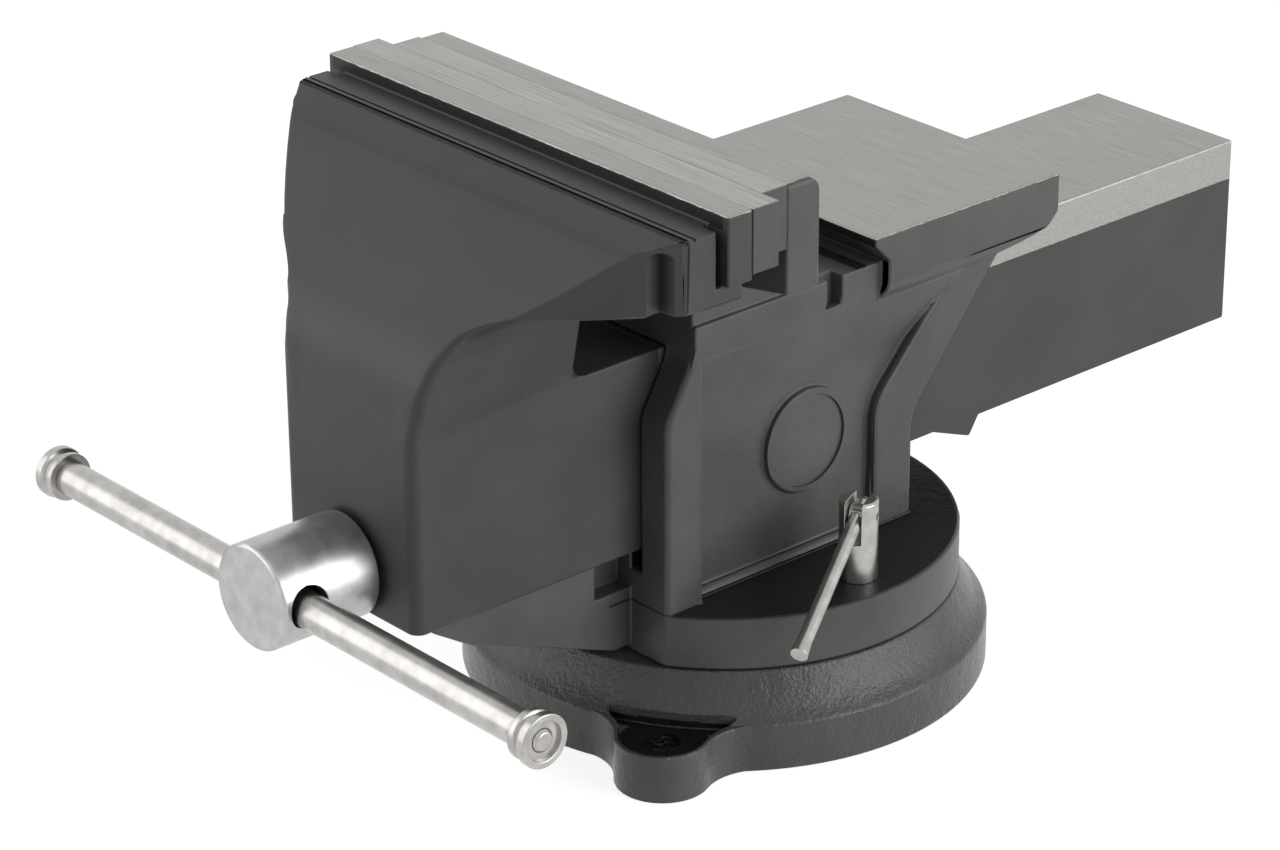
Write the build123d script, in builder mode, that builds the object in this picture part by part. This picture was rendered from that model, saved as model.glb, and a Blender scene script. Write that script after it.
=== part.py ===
from build123d import *
import os
from math import cos, hypot, radians, sin

# A swivel bench vise: a cast body with fixed jaw and anvil turns on a round base, and a cast
# moving jaw runs through the body on a box-shaped slide, drawn by a spindle with a bar handle.
# Millimetres. The origin is where the swivel axis meets the bench, +Z is up, the handle end
# is at -Y, and right and left are as seen from the handle.

# Running clearances
SLIDE_GAP = 0.3
SHAFT_GAP = 0.05
BOLT_GAP = 0.5
SCREW_SEAT_GAP = 0.1

# Slide, and the body walls that wrap round it
SLIDE_WIDTH = 67.2
SLIDE_HEIGHT = 71.0
SLIDE_LENGTH = 385.8
SLIDE_SIDE_WALL = 12.0
SLIDE_TOP_WALL = 14.0
BODY_SIDE_WALL = 7.1
BODY_ROOF_WALL = 11.2
FLANGE_STEP = 6.5
RIB_STEP = 4.0
SADDLE_STEP = 8.0
SADDLE_SKIRT = 36.0
ANVIL_OVERHANG = 8.0

# Heights, stacked from the bench
BASE_HEIGHT = 33.0
DISC_HEIGHT = 19.5
CHANNEL_FLOOR_WALL = 11.5
RAIL_HEIGHT = 8.5
ANVIL_RISE = 11.0
JAW_RISE = 52.0
SPINDLE_RISE = 15.9

# Jaws
JAW_WIDTH = 200.0
FIXED_JAW_WIDTH = 184.0
PLATE_THICKNESS = 11.0
PLATE_HEIGHT = 22.0
CLAMP_REACH = 68.4
MOVING_REACH = 95.8

# Fixed jaw casting
FIXED_JAW_THICKNESS = 13.7
FIXED_JAW_DEPTH = 38.0
FIXED_WING_DROP = 8.0
BUTTRESS_LENGTH = 36.0
BUTTRESS_DROP = 22.0
FIXED_JAW_ROUND = 6.0
WING_ROOT_ROUND = 13.0

# Flange round the mouth of the channel
FLANGE_THICKNESS = 16.4
FLANGE_SHOULDER_RISE = 69.5
FLANGE_SLOPE_HEIGHT = 19.0
CAST_ROUND = 2.5
CREASE_ROUND = 3.0
RIM_BEVEL = 1.0
DISC_INSET = 0.8

# Raking rib and rear face of the body
RIB_FOOT_SETBACK = 97.3
RIB_WIDTH = 18.6
RIB_KNEE_RISE = 47.5
REAR_KNEE_RISE = 38.5
RIB_RAKE = 0.915
REAR_RAKE = 0.84

# Anvil
ANVIL_SETBACK = 88.4
ANVIL_LENGTH = 89.0
ANVIL_FACE_HEIGHT = 20.0
ANVIL_NOSE = 3.0
ANVIL_UNDERCUT = 7.0
ANVIL_HEEL_DROP = 4.0
ANVIL_REAR_FACE = 14.0
ANVIL_REAR_BEVEL = 5.0
NOTCH_WIDTH = 6.5
NOTCH_DEPTH = 6.0

# Round boss on the side wall
BOSS_RADIUS = 19.0
BOSS_RAISE = 1.2
BOSS_RIM_WIDTH = 2.2
BOSS_RIM_RAISE = 1.0
BOSS_RISE = 42.5
BOSS_SETBACK = 67.7

# Tongue that carries the slide in front of the body
TONGUE_WIDTH = 57.0
TONGUE_REACH = 84.6
TONGUE_TIP_HEIGHT = 4.0
TONGUE_TIP_LENGTH = 16.0
TONGUE_TIP_DROP = 10.0
TONGUE_ROOT_LEAD = 7.6
TONGUE_ROOT_HEIGHT = 37.5
TONGUE_NOTCH_LENGTH = 15.6
TONGUE_NOTCH_DEPTH = 15.5
TONGUE_NOTCH_WIDTH = 7.0
RAIL_WIDTH = 8.5

# Moving jaw casting
STRIP_THICKNESS = 10.4
STRIP_HEIGHT = 24.0
END_STEP = 3.0
LEDGE_DROP = 5.0
LEDGE_DEPTH = 14.6
HEAD_DEPTH = 30.0
HEAD_BACK_STEP = 1.6
BROW_DEPTH = 13.0
BROW_DROP = 4.5
SLOPE_FOOT_DROP = 52.2
BROW_ROUND = 14.0
NOSE_ROUND = 30.0
WING_BULGE = 2.2
WING_DROP = 4.3
WING_HOLLOW = 12.0
WING_ROOT_FLARE = 8.4
WING_ROOT_INSET = 0.5
WING_FOOT_DEPTH = 42.0
NECK_SETBACK = 16.0
NECK_ROUND = 6.0
NOSE_EDGE_ROUND = 4.5
BLOCK_ROUND = 3.0
ARCH_WIDTH = 6.5
ARCH_INSET = 9.0
ARCH_SETBACK = 6.0
ARCH_DROP = 3.6
BEAD_WIDTH = 3.4
GROOVE_WIDTH = 1.0
GROOVE_DEPTH = 0.8
RELIEF_WIDTH = 2.0
RELIEF_DEPTH = 6.0
FRONT_WALL = 24.0
LUG_SETBACK = 138.0
LUG_LENGTH = 22.6
LUG_RAMP = 18.1
LUG_DEPTH = 7.0
LUG_WIDTH = 4.6

# Swivel base
BASE_FLARE = 10.3
BASE_SKIRT = 18.2
SHOULDER_RISE = 2.3
SHOULDER_INSET = 3.9
SHOULDER_BEVEL = 1.2
BASE_RIM_WALL = 10.3
BASE_RECESS = 9.0
BASE_FLOOR_WALL = 5.0
HUB_RADIUS = 26.0
HUB_WEB = 9.0
TSLOT_INSET = 15.0
TSLOT_MOUTH = 10.0
TSLOT_LIP = 9.0
TSLOT_WIDTH = 23.0
TSLOT_HEIGHT = 10.0
MOUNT_CIRCLE = 200.0
MOUNT_HOLE = 12.5
LUG_NOSE_RADIUS = 16.5
LUG_TOP = 17.5
LUG_FILLET = 20.0
LUG_ROOT_INSET = 0.4
LUG_SPAN = 64.0
LUG_ANGLE = 35.8
POCKET_RIM = 2.0
POCKET_DEPTH = 3.0
POCKET_SPAN = 44.0
POCKET_ROOT_GAP = 0.6

# Pivot bolt, washer and nut
PIVOT_BOLT = 12.0
PIVOT_HEAD_FLATS = 18.0
PIVOT_HEAD_HEIGHT = 7.5
HEAD_POCKET_GAP = 3.0
PIVOT_WASHER_RADIUS = 12.0
PIVOT_WASHER_THICKNESS = 2.0
PIVOT_NUT_HEIGHT = 7.5
PIVOT_THREAD_END = 1.2
PIVOT_POINT_BEVEL = 1.0

# Clamp studs, lock nuts and levers
STUD = 8.0
STUD_HEAD = 18.0
STUD_HEAD_HEIGHT = 8.0
STUD_RISE = 11.5
LOCK_NUT_RADIUS = 6.75
LOCK_NUT_HEIGHT = 29.5
LOCK_NUT_BEVEL = 0.8
LEVER_SLOT_WIDTH = 5.8
LEVER_SLOT_DEPTH = 15.0
LEVER_PIVOT_DROP = 6.0
LEVER_PIN = 2.4
LEVER_ROD = 5.2
LEVER_EYE_RADIUS = 3.4
LEVER_TAIL = 7.2
LEVER_TAIL_RADIUS = 1.2
LEVER_REACH = 64.0
LEVER_FLARE = 0.5
LEVER_FLARE_LENGTH = 6.0
LEVER_DROOP = 23.0
LEVER_HEADING = 63.2

# Spindle and its fittings; the screw is drawn at its pitch diameter
SPINDLE_SCREW = 19.0
SPINDLE_HEAD = 36.4
SPINDLE_HEAD_LENGTH = 38.0
SPINDLE_HEAD_BEVEL = 0.8
SPINDLE_TAIL = 21.6
WASHER_THICKNESS = 2.0
WASHER_RADIUS = 15.5
COLLAR_RADIUS = 15.0
COLLAR_LENGTH = 12.0
COLLAR_PIN = 5.0

# Spindle nut
NUT_SETBACK = 18.4
NUT_LENGTH = 36.0
NUT_RADIUS = 17.0
NUT_FOOT_WIDTH = 38.0
NUT_FOOT_HEIGHT = 8.0
NUT_FOOT_LENGTH = 16.0
NUT_BOLT = 6.0
NUT_BOLT_FLATS = 10.0
NUT_BOLT_HEAD = 4.0
NUT_BOLT_SPACING = 24.0
NUT_BOLT_DEPTH = 12.0

# Handle
HANDLE_BAR = 12.0
HANDLE_LENGTH = 256.0
HANDLE_OFFSET = 5.2
HANDLE_HOLE_INSET = 9.9
HANDLE_GAP = 1.2
KNOB_LENGTH = 8.0
KNOB_RADIUS = 9.0
KNOB_COLLAR_RADIUS = 8.4
KNOB_WAIST = 7.2
KNOB_COLLAR = 2.4
KNOB_BEVEL = 0.8
KNOB_RIM = 3.0
KNOB_TENON = 8.0
TENON_BEVEL = 1.2
KNOB_RECESS_RADIUS = 6.6
KNOB_RECESS_DEPTH = 1.4

# Jaw plate screws
PLATE_SCREW = 8.0
PLATE_SCREW_HEAD = 15.0
PLATE_SCREW_SPACING = 110.0
PLATE_SCREW_SINK = 0.5
PLATE_SCREW_DEPTH = 10.0

# Half widths across the vise
slide_half = SLIDE_WIDTH / 2
channel_half = slide_half + SLIDE_GAP
wall_half = channel_half + BODY_SIDE_WALL
flange_half = wall_half + FLANGE_STEP
rib_half = wall_half + RIB_STEP
saddle_half = wall_half + SADDLE_STEP
anvil_half = rib_half + ANVIL_OVERHANG
jaw_half = JAW_WIDTH / 2
block_half = jaw_half - END_STEP
fixed_half = FIXED_JAW_WIDTH / 2
slide_inner = slide_half - SLIDE_SIDE_WALL
tongue_half = TONGUE_WIDTH / 2

# Heights above the bench
z_disc_top = BASE_HEIGHT + DISC_HEIGHT
z_floor = z_disc_top + CHANNEL_FLOOR_WALL
z_slide_bottom = z_floor + RAIL_HEIGHT
z_slide_top = z_slide_bottom + SLIDE_HEIGHT
z_roof = z_slide_top + SLIDE_GAP
z_saddle = z_roof + BODY_ROOF_WALL
z_anvil = z_saddle + ANVIL_RISE
z_jaw_top = z_anvil + JAW_RISE
z_plate_bottom = z_jaw_top - PLATE_HEIGHT
z_plate_middle = z_jaw_top - PLATE_HEIGHT / 2
z_ledge = z_jaw_top - LEDGE_DROP
z_head_bottom = z_jaw_top - HEAD_DEPTH
z_spindle = z_slide_bottom + SPINDLE_RISE
z_handle = z_spindle - HANDLE_GAP + SHAFT_GAP

# Places along the vise
y_clamp = -CLAMP_REACH
y_fixed_face = y_clamp + PLATE_THICKNESS
y_fixed_rear = y_fixed_face + FIXED_JAW_THICKNESS
y_buttress = y_fixed_rear + BUTTRESS_LENGTH
y_flange_rear = y_clamp + FLANGE_THICKNESS
y_rib_foot = y_clamp + RIB_FOOT_SETBACK
y_rear_foot = y_rib_foot + RIB_WIDTH
y_anvil_front = y_clamp + ANVIL_SETBACK
y_anvil_rear = y_anvil_front + ANVIL_LENGTH
y_moving_face = y_clamp - PLATE_THICKNESS
y_strip_front = y_moving_face - STRIP_THICKNESS
y_ledge_front = y_strip_front - LEDGE_DEPTH
y_head_back = y_moving_face - HEAD_BACK_STEP
y_neck_back = y_head_back - NECK_SETBACK
y_neck_front = y_clamp - MOVING_REACH
y_slide_rear = y_neck_front + SLIDE_LENGTH
y_wall_back = y_neck_front + FRONT_WALL
y_washer = y_neck_front - WASHER_THICKNESS
y_head_front = y_washer - SPINDLE_HEAD_LENGTH
y_handle = y_head_front + HANDLE_HOLE_INSET

# Round sizes that mating pieces share
swivel_radius = hypot(CLAMP_REACH, flange_half) - DISC_INSET
base_radius = swivel_radius + BASE_FLARE
tslot_radius = swivel_radius - TSLOT_INSET
mount_radius = MOUNT_CIRCLE / 2
screw_bore = SPINDLE_SCREW / 2 + SHAFT_GAP
stud_bore = STUD / 2 + SHAFT_GAP
screw_places = ((PLATE_SCREW_SPACING / 2, z_plate_middle), (-PLATE_SCREW_SPACING / 2, z_plate_middle))

os.makedirs("parts", exist_ok=True)


def both_sides(*points):
    """Close an outline of half width points by repeating them on the other side of X = 0."""
    return [*points, *[(-x, y) for x, y in reversed(points)]]


# Base casting: a flared ring with an annular T-slot, a central hub for the pivot bolt, a cored
# underside, and two bolting lugs on opposite sides
tslot_inner = tslot_radius - TSLOT_WIDTH / 2
tslot_outer = tslot_radius + TSLOT_WIDTH / 2
mouth_inner = tslot_radius - TSLOT_MOUTH / 2
mouth_outer = tslot_radius + TSLOT_MOUTH / 2
z_tslot_roof = BASE_HEIGHT - TSLOT_LIP
z_tslot_floor = z_tslot_roof - TSLOT_HEIGHT
z_slot_underside = z_tslot_floor - BASE_FLOOR_WALL
z_hub_web = BASE_HEIGHT - HUB_WEB
core_outer = tslot_inner - BASE_FLOOR_WALL
rim_inner = base_radius - BASE_RIM_WALL
pivot_bore = PIVOT_BOLT / 2 + SHAFT_GAP
head_pocket = PIVOT_HEAD_FLATS / 2 + HEAD_POCKET_GAP
lug_direction = LUG_ANGLE - 90
lug_root_radius = base_radius - LUG_ROOT_INSET
pocket_root_radius = base_radius - SHOULDER_INSET
with BuildPart() as swivel_base:
    with BuildSketch(Plane.XZ):
        with BuildLine():
            Polyline(
                (rim_inner, 0),
                (base_radius, 0),
                (base_radius, BASE_SKIRT - SHOULDER_BEVEL),
                (base_radius - SHOULDER_BEVEL, BASE_SKIRT),
                (base_radius - SHOULDER_INSET, BASE_SKIRT + SHOULDER_RISE),
                (swivel_radius, BASE_HEIGHT),
                (mouth_outer, BASE_HEIGHT),
                (mouth_outer, z_tslot_roof),
                (tslot_outer, z_tslot_roof),
                (tslot_outer, z_tslot_floor),
                (tslot_inner, z_tslot_floor),
                (tslot_inner, z_tslot_roof),
                (mouth_inner, z_tslot_roof),
                (mouth_inner, BASE_HEIGHT),
                (pivot_bore, BASE_HEIGHT),
                (pivot_bore, BASE_RECESS),
                (head_pocket, BASE_RECESS),
                (head_pocket, 0),
                (HUB_RADIUS, 0),
                (HUB_RADIUS, z_hub_web),
                (core_outer, z_hub_web),
                (core_outer, z_slot_underside),
                (rim_inner, z_slot_underside),
                (rim_inner, 0),
            )
        make_face()
    revolve(axis=Axis.Z)
    # Lugs with a rounded nose, blended into the ring by hollow fillets
    with BuildSketch():
        Circle(lug_root_radius)
        with PolarLocations(mount_radius, 2, start_angle=lug_direction):
            Circle(LUG_NOSE_RADIUS)
        lug_roots = [v for v in vertices() if abs(hypot(v.X, v.Y) - lug_root_radius) < LUG_ROOT_INSET / 2]
        fillet(lug_roots, LUG_FILLET)
        with PolarLocations(mount_radius, 2, start_angle=lug_direction):
            Rectangle(2 * (mount_radius - rim_inner), LUG_SPAN, mode=Mode.INTERSECT)
        Circle(rim_inner, mode=Mode.SUBTRACT)
    extrude(amount=LUG_TOP)
    # Pocket for the bolt head in each lug, running back under the slope of the ring
    with BuildSketch(Plane.XY.offset(LUG_TOP - POCKET_DEPTH)):
        Circle(pocket_root_radius)
        with PolarLocations(mount_radius, 2, start_angle=lug_direction):
            Circle(LUG_NOSE_RADIUS - POCKET_RIM)
        pocket_roots = [v for v in vertices() if abs(hypot(v.X, v.Y) - pocket_root_radius) < LUG_ROOT_INSET / 2]
        fillet(pocket_roots, LUG_FILLET + POCKET_RIM)
        with PolarLocations(mount_radius, 2, start_angle=lug_direction):
            Rectangle(2 * (mount_radius - rim_inner), POCKET_SPAN, mode=Mode.INTERSECT)
        Circle(pocket_root_radius + POCKET_ROOT_GAP, mode=Mode.SUBTRACT)
    extrude(amount=BASE_HEIGHT - LUG_TOP, mode=Mode.SUBTRACT)
    with BuildSketch():
        with PolarLocations(mount_radius, 2, start_angle=lug_direction):
            Circle(MOUNT_HOLE / 2)
    extrude(amount=LUG_TOP, mode=Mode.SUBTRACT)
swivel_base.part.label = "swivel_base"
export_step(swivel_base.part, "parts/swivel_base.step")


# Fixed jaw: a broad head with tapering wings, and a hollowed buttress that runs down to the
# top of the body behind it
z_head_root = z_roof + BODY_ROOF_WALL / 2
z_fixed_wing = z_jaw_top - FIXED_JAW_DEPTH
with BuildPart() as fixed_head:
    with BuildSketch(Plane.XY.offset(z_head_root)):
        with BuildLine():
            Polyline(
                (-saddle_half, y_buttress),
                (-fixed_half, y_fixed_rear),
                (-fixed_half, y_fixed_face),
                (fixed_half, y_fixed_face),
                (fixed_half, y_fixed_rear),
                (saddle_half, y_buttress),
                (-saddle_half, y_buttress),
            )
        make_face()
    extrude(amount=z_jaw_top - z_head_root)
    with BuildSketch(Plane.YZ):
        with BuildLine():
            FilletPolyline(
                (y_buttress, z_head_root),
                (y_buttress, z_saddle),
                (y_fixed_rear, z_jaw_top - BUTTRESS_DROP),
                (y_fixed_rear, z_jaw_top),
                (y_fixed_face, z_jaw_top),
                (y_fixed_face, z_head_root),
                radius=(0, 0, FIXED_JAW_ROUND, 0),
            )
            Line((y_fixed_face, z_head_root), (y_buttress, z_head_root))
        make_face()
    extrude(amount=fixed_half, both=True, mode=Mode.INTERSECT)
    with BuildSketch(Plane.XZ):
        with BuildLine():
            FilletPolyline(
                *both_sides(
                    (flange_half, z_head_root),
                    (flange_half, z_fixed_wing - FIXED_WING_DROP),
                    (fixed_half, z_fixed_wing),
                    (fixed_half, z_jaw_top),
                ),
                radius=(0, WING_ROOT_ROUND, 0, CAST_ROUND, CAST_ROUND, 0, WING_ROOT_ROUND, 0),
                close=True,
            )
        make_face()
    extrude(amount=2 * CLAMP_REACH, both=True, mode=Mode.INTERSECT)

# Flange: a thick pad round the mouth of the channel, flush with the clamping plane at its foot
# and sloping back to the jaw seat above
z_flange_shoulder = z_disc_top + FLANGE_SHOULDER_RISE
with BuildPart() as mouth_flange:
    with BuildSketch(Plane.YZ):
        with BuildLine():
            FilletPolyline(
                (y_clamp, BASE_HEIGHT),
                (y_clamp, z_flange_shoulder),
                (y_fixed_face, z_flange_shoulder + FLANGE_SLOPE_HEIGHT),
                (y_fixed_face, z_fixed_wing),
                (y_flange_rear, z_fixed_wing),
                (y_flange_rear, BASE_HEIGHT),
                (y_clamp, BASE_HEIGHT),
                radius=(0, PLATE_THICKNESS, PLATE_THICKNESS, 0, 0, 0),
            )
        make_face()
    extrude(amount=flange_half, both=True)
    flange_sides = faces().filter_by(Axis.X).edges().filter_by(Axis.Z)
    fillet(flange_sides, CAST_ROUND)

# Raking rib on each side, drawn as one slab, from the disc up to the underside of the anvil
z_rib_knee = z_disc_top + RIB_KNEE_RISE
z_rear_knee = z_disc_top + REAR_KNEE_RISE
y_rib_top = y_rib_foot + RIB_RAKE * (z_roof - z_rib_knee)
y_rear_top = y_rear_foot + REAR_RAKE * (z_roof - z_rear_knee)
y_core_foot = (y_rib_foot + y_rear_foot) / 2
y_core_top = (y_rib_top + y_rear_top) / 2
with BuildPart() as raking_rib:
    with BuildSketch(Plane.YZ):
        with BuildLine():
            FilletPolyline(
                (y_rib_foot, z_disc_top),
                (y_rib_foot, z_rib_knee),
                (y_rib_top, z_roof),
                (y_rear_top, z_roof),
                (y_rear_foot, z_rear_knee),
                (y_rear_foot, z_disc_top),
                (y_rib_foot, z_disc_top),
                radius=(0, RIB_WIDTH, 0, 0, RIB_WIDTH, 0),
            )
        make_face()
    extrude(amount=rib_half, both=True)
    rib_rims = faces().filter_by(Axis.X).edges().filter_by(lambda edge: edge.center().Z < z_roof - 1)
    chamfer(rib_rims, RIM_BEVEL)

# Anvil: a flat pad that overhangs the body all round, undercut in front
z_anvil_root = z_anvil - ANVIL_FACE_HEIGHT - ANVIL_OVERHANG
with BuildPart() as anvil:
    with BuildSketch(Plane.YZ):
        with BuildLine():
            Polyline(
                (y_anvil_front, z_anvil),
                (y_anvil_front, z_anvil - ANVIL_NOSE),
                (y_anvil_front + ANVIL_UNDERCUT, z_anvil - ANVIL_NOSE - ANVIL_UNDERCUT),
                (y_anvil_front + ANVIL_UNDERCUT, z_anvil_root),
                (y_rib_top, z_anvil_root),
                (y_rear_top - ANVIL_UNDERCUT, z_anvil - ANVIL_FACE_HEIGHT - ANVIL_HEEL_DROP),
                (y_anvil_rear - ANVIL_REAR_BEVEL, z_anvil - ANVIL_REAR_FACE - ANVIL_REAR_BEVEL),
                (y_anvil_rear, z_anvil - ANVIL_REAR_FACE),
                (y_anvil_rear, z_anvil),
                (y_anvil_front, z_anvil),
            )
        make_face()
    extrude(amount=anvil_half, both=True)
    with BuildSketch(Plane.XZ):
        with BuildLine():
            FilletPolyline(
                *both_sides(
                    (rib_half, z_anvil_root),
                    (anvil_half, z_anvil - ANVIL_FACE_HEIGHT),
                    (anvil_half, z_anvil),
                ),
                radius=(0, ANVIL_OVERHANG, 0, 0, ANVIL_OVERHANG, 0),
                close=True,
            )
        make_face()
    extrude(amount=ANVIL_LENGTH + ANVIL_SETBACK, both=True, mode=Mode.INTERSECT)

# Body casting: disc, core, tongue and saddle joined to the parts above, then the channel for
# the slide, the rails it runs on, and the holes for pivot, studs, nut bolts and plate screws.
# The disc is cut straight across at the clamping plane, flush with the flange
z_tongue_tip = z_slide_bottom - TONGUE_TIP_HEIGHT
z_tongue_root = z_slide_bottom - TONGUE_ROOT_HEIGHT
y_tongue_tip = y_clamp - TONGUE_REACH
y_notch_front = y_clamp - TONGUE_NOTCH_LENGTH
y_notch_pocket = y_anvil_front - NOTCH_WIDTH - SADDLE_STEP
y_boss = y_clamp + BOSS_SETBACK
z_boss = z_disc_top + BOSS_RISE
y_nut_rear = y_clamp + NUT_SETBACK + NUT_LENGTH
y_nut_front = y_nut_rear - NUT_LENGTH
y_foot_front = y_nut_front - NUT_FOOT_LENGTH
y_nut_bolts = y_nut_front - NUT_FOOT_LENGTH / 2
nut_bolt_places = ((NUT_BOLT_SPACING / 2, y_nut_bolts), (-NUT_BOLT_SPACING / 2, y_nut_bolts))
with BuildPart() as body_casting:
    with BuildSketch(Plane.XY.offset(BASE_HEIGHT)):
        Circle(swivel_radius)
        with Locations((0, y_clamp - swivel_radius)):
            Rectangle(2 * swivel_radius, 2 * swivel_radius, mode=Mode.SUBTRACT)
    extrude(amount=DISC_HEIGHT)
    chamfer(edges().filter_by(GeomType.CIRCLE).group_by(Axis.Z)[-1], RIM_BEVEL)
    with BuildSketch(Plane.YZ):
        with BuildLine():
            Polyline(
                (y_fixed_face, BASE_HEIGHT),
                (y_fixed_face, z_saddle),
                (y_core_top, z_saddle),
                (y_core_top, z_roof),
                (y_core_foot, z_rib_knee),
                (y_core_foot, BASE_HEIGHT),
                (y_fixed_face, BASE_HEIGHT),
            )
        make_face()
    extrude(amount=wall_half, both=True)
    # Tongue under the slide, rising from the disc to its tip
    with BuildSketch(Plane.YZ):
        with BuildLine():
            Polyline(
                (y_fixed_face, z_tongue_root),
                (y_fixed_face, z_slide_bottom),
                (y_tongue_tip, z_slide_bottom),
                (y_tongue_tip, z_tongue_tip),
                (y_tongue_tip + TONGUE_TIP_LENGTH, z_tongue_tip - TONGUE_TIP_DROP),
                (y_clamp - TONGUE_ROOT_LEAD, z_tongue_root),
                (y_fixed_face, z_tongue_root),
            )
        make_face()
    extrude(amount=tongue_half, both=True)
    # Saddle between fixed jaw and anvil, wider than the walls, with a long skirt down to them
    with BuildSketch(Plane.XZ.offset(-y_fixed_face)):
        with BuildLine():
            Polyline(
                *both_sides(
                    (wall_half, z_saddle - SADDLE_SKIRT),
                    (saddle_half, z_saddle - SADDLE_STEP),
                    (saddle_half, z_saddle),
                ),
                (wall_half, z_saddle - SADDLE_SKIRT),
            )
        make_face()
    extrude(amount=y_fixed_face - y_rib_top)
    add(fixed_head.part)
    add(mouth_flange.part)
    add(raking_rib.part)
    add(anvil.part)
    # Channel, open from the mouth to the rear
    with BuildSketch(Plane.XZ.offset(-y_clamp)):
        with Locations((0, (z_floor + z_roof) / 2)):
            Rectangle(2 * channel_half, z_roof - z_floor)
    extrude(amount=y_clamp - y_anvil_rear - CAST_ROUND, mode=Mode.SUBTRACT)
    # Rails, as high as the tongue, leave a groove beside each wall for the stop lugs to pass
    with BuildSketch(Plane.XZ.offset(-y_clamp)):
        with Locations((tongue_half - RAIL_WIDTH / 2, z_floor), (RAIL_WIDTH / 2 - tongue_half, z_floor)):
            Rectangle(RAIL_WIDTH, 2 * RAIL_HEIGHT)
    extrude(amount=y_clamp - y_rear_foot)
    # Notch on each side of the tongue's root, beside the mouth
    for side in (1, -1):
        with BuildSketch(Plane.YZ.offset(side * tongue_half)):
            with Locations((y_clamp - TONGUE_NOTCH_LENGTH / 2, z_slide_bottom)):
                Rectangle(TONGUE_NOTCH_LENGTH, 2 * TONGUE_NOTCH_DEPTH)
        extrude(amount=-side * TONGUE_NOTCH_WIDTH, mode=Mode.SUBTRACT)
    # Upright notch in each side of the saddle, just ahead of the anvil
    with BuildSketch(Plane.XY.offset(z_saddle)):
        with Locations((saddle_half, y_notch_pocket), (-saddle_half, y_notch_pocket)):
            Rectangle(2 * NOTCH_DEPTH, NOTCH_WIDTH)
    extrude(amount=-BODY_ROOF_WALL, mode=Mode.SUBTRACT)
    # Hollow fillet where each wall meets the disc
    with BuildSketch(Plane.XZ.offset(-y_flange_rear)):
        for side in (1, -1):
            with BuildLine():
                Polyline(
                    (side * (wall_half + CREASE_ROUND), z_disc_top),
                    (side * wall_half, z_disc_top),
                    (side * wall_half, z_disc_top + CREASE_ROUND),
                )
                RadiusArc(
                    (side * wall_half, z_disc_top + CREASE_ROUND),
                    (side * (wall_half + CREASE_ROUND), z_disc_top),
                    side * CREASE_ROUND,
                )
            make_face()
    extrude(amount=y_flange_rear - y_rib_foot)
    # Round boss with a raised rim, high on the right wall
    with BuildSketch(Plane.YZ.offset(wall_half)):
        with Locations((y_boss, z_boss)):
            Circle(BOSS_RADIUS)
    extrude(amount=BOSS_RAISE)
    with BuildSketch(Plane.YZ.offset(wall_half + BOSS_RAISE)):
        with Locations((y_boss, z_boss)):
            Circle(BOSS_RADIUS)
            Circle(BOSS_RADIUS - BOSS_RIM_WIDTH, mode=Mode.SUBTRACT)
    extrude(amount=BOSS_RIM_RAISE)
    # Holes
    with Locations((0, 0, z_floor)):
        Hole(PIVOT_BOLT / 2 + BOLT_GAP, depth=CHANNEL_FLOOR_WALL + DISC_HEIGHT)
    with Locations((tslot_radius, 0, z_disc_top), (-tslot_radius, 0, z_disc_top)):
        Hole(STUD / 2 + BOLT_GAP, depth=DISC_HEIGHT)
    with Locations(Plane.XY.offset(z_floor)):
        with Locations(*nut_bolt_places):
            Hole(NUT_BOLT / 2 + SHAFT_GAP, depth=NUT_BOLT_DEPTH)
    with Locations(Plane.XZ.offset(-y_fixed_face)):
        with Locations(*screw_places):
            Hole(PLATE_SCREW / 2 + SHAFT_GAP, depth=PLATE_SCREW_DEPTH)
body_casting.part.label = "body_casting"
export_step(body_casting.part, "parts/body_casting.step")


def jaw_profile():
    """Side outline of the moving jaw: up the front, over the brow to the ledge, down the back of
    the head and neck to the top of the slide, and along it to the rear end."""
    return FilletPolyline(
        (y_neck_front, z_slide_bottom),
        (y_neck_front, z_jaw_top - SLOPE_FOOT_DROP),
        (y_ledge_front - BROW_DEPTH, z_ledge - BROW_DROP),
        (y_ledge_front, z_ledge),
        (y_head_back, z_ledge),
        (y_head_back, z_head_bottom),
        (y_neck_back, z_head_bottom),
        (y_neck_back, z_slide_top),
        (y_slide_rear, z_slide_top),
        (y_slide_rear, z_slide_bottom),
        radius=(0, NOSE_ROUND, BROW_ROUND, 0, 0, 0, NECK_ROUND, NECK_ROUND, 0, 0),
        close=True,
    )


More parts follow.
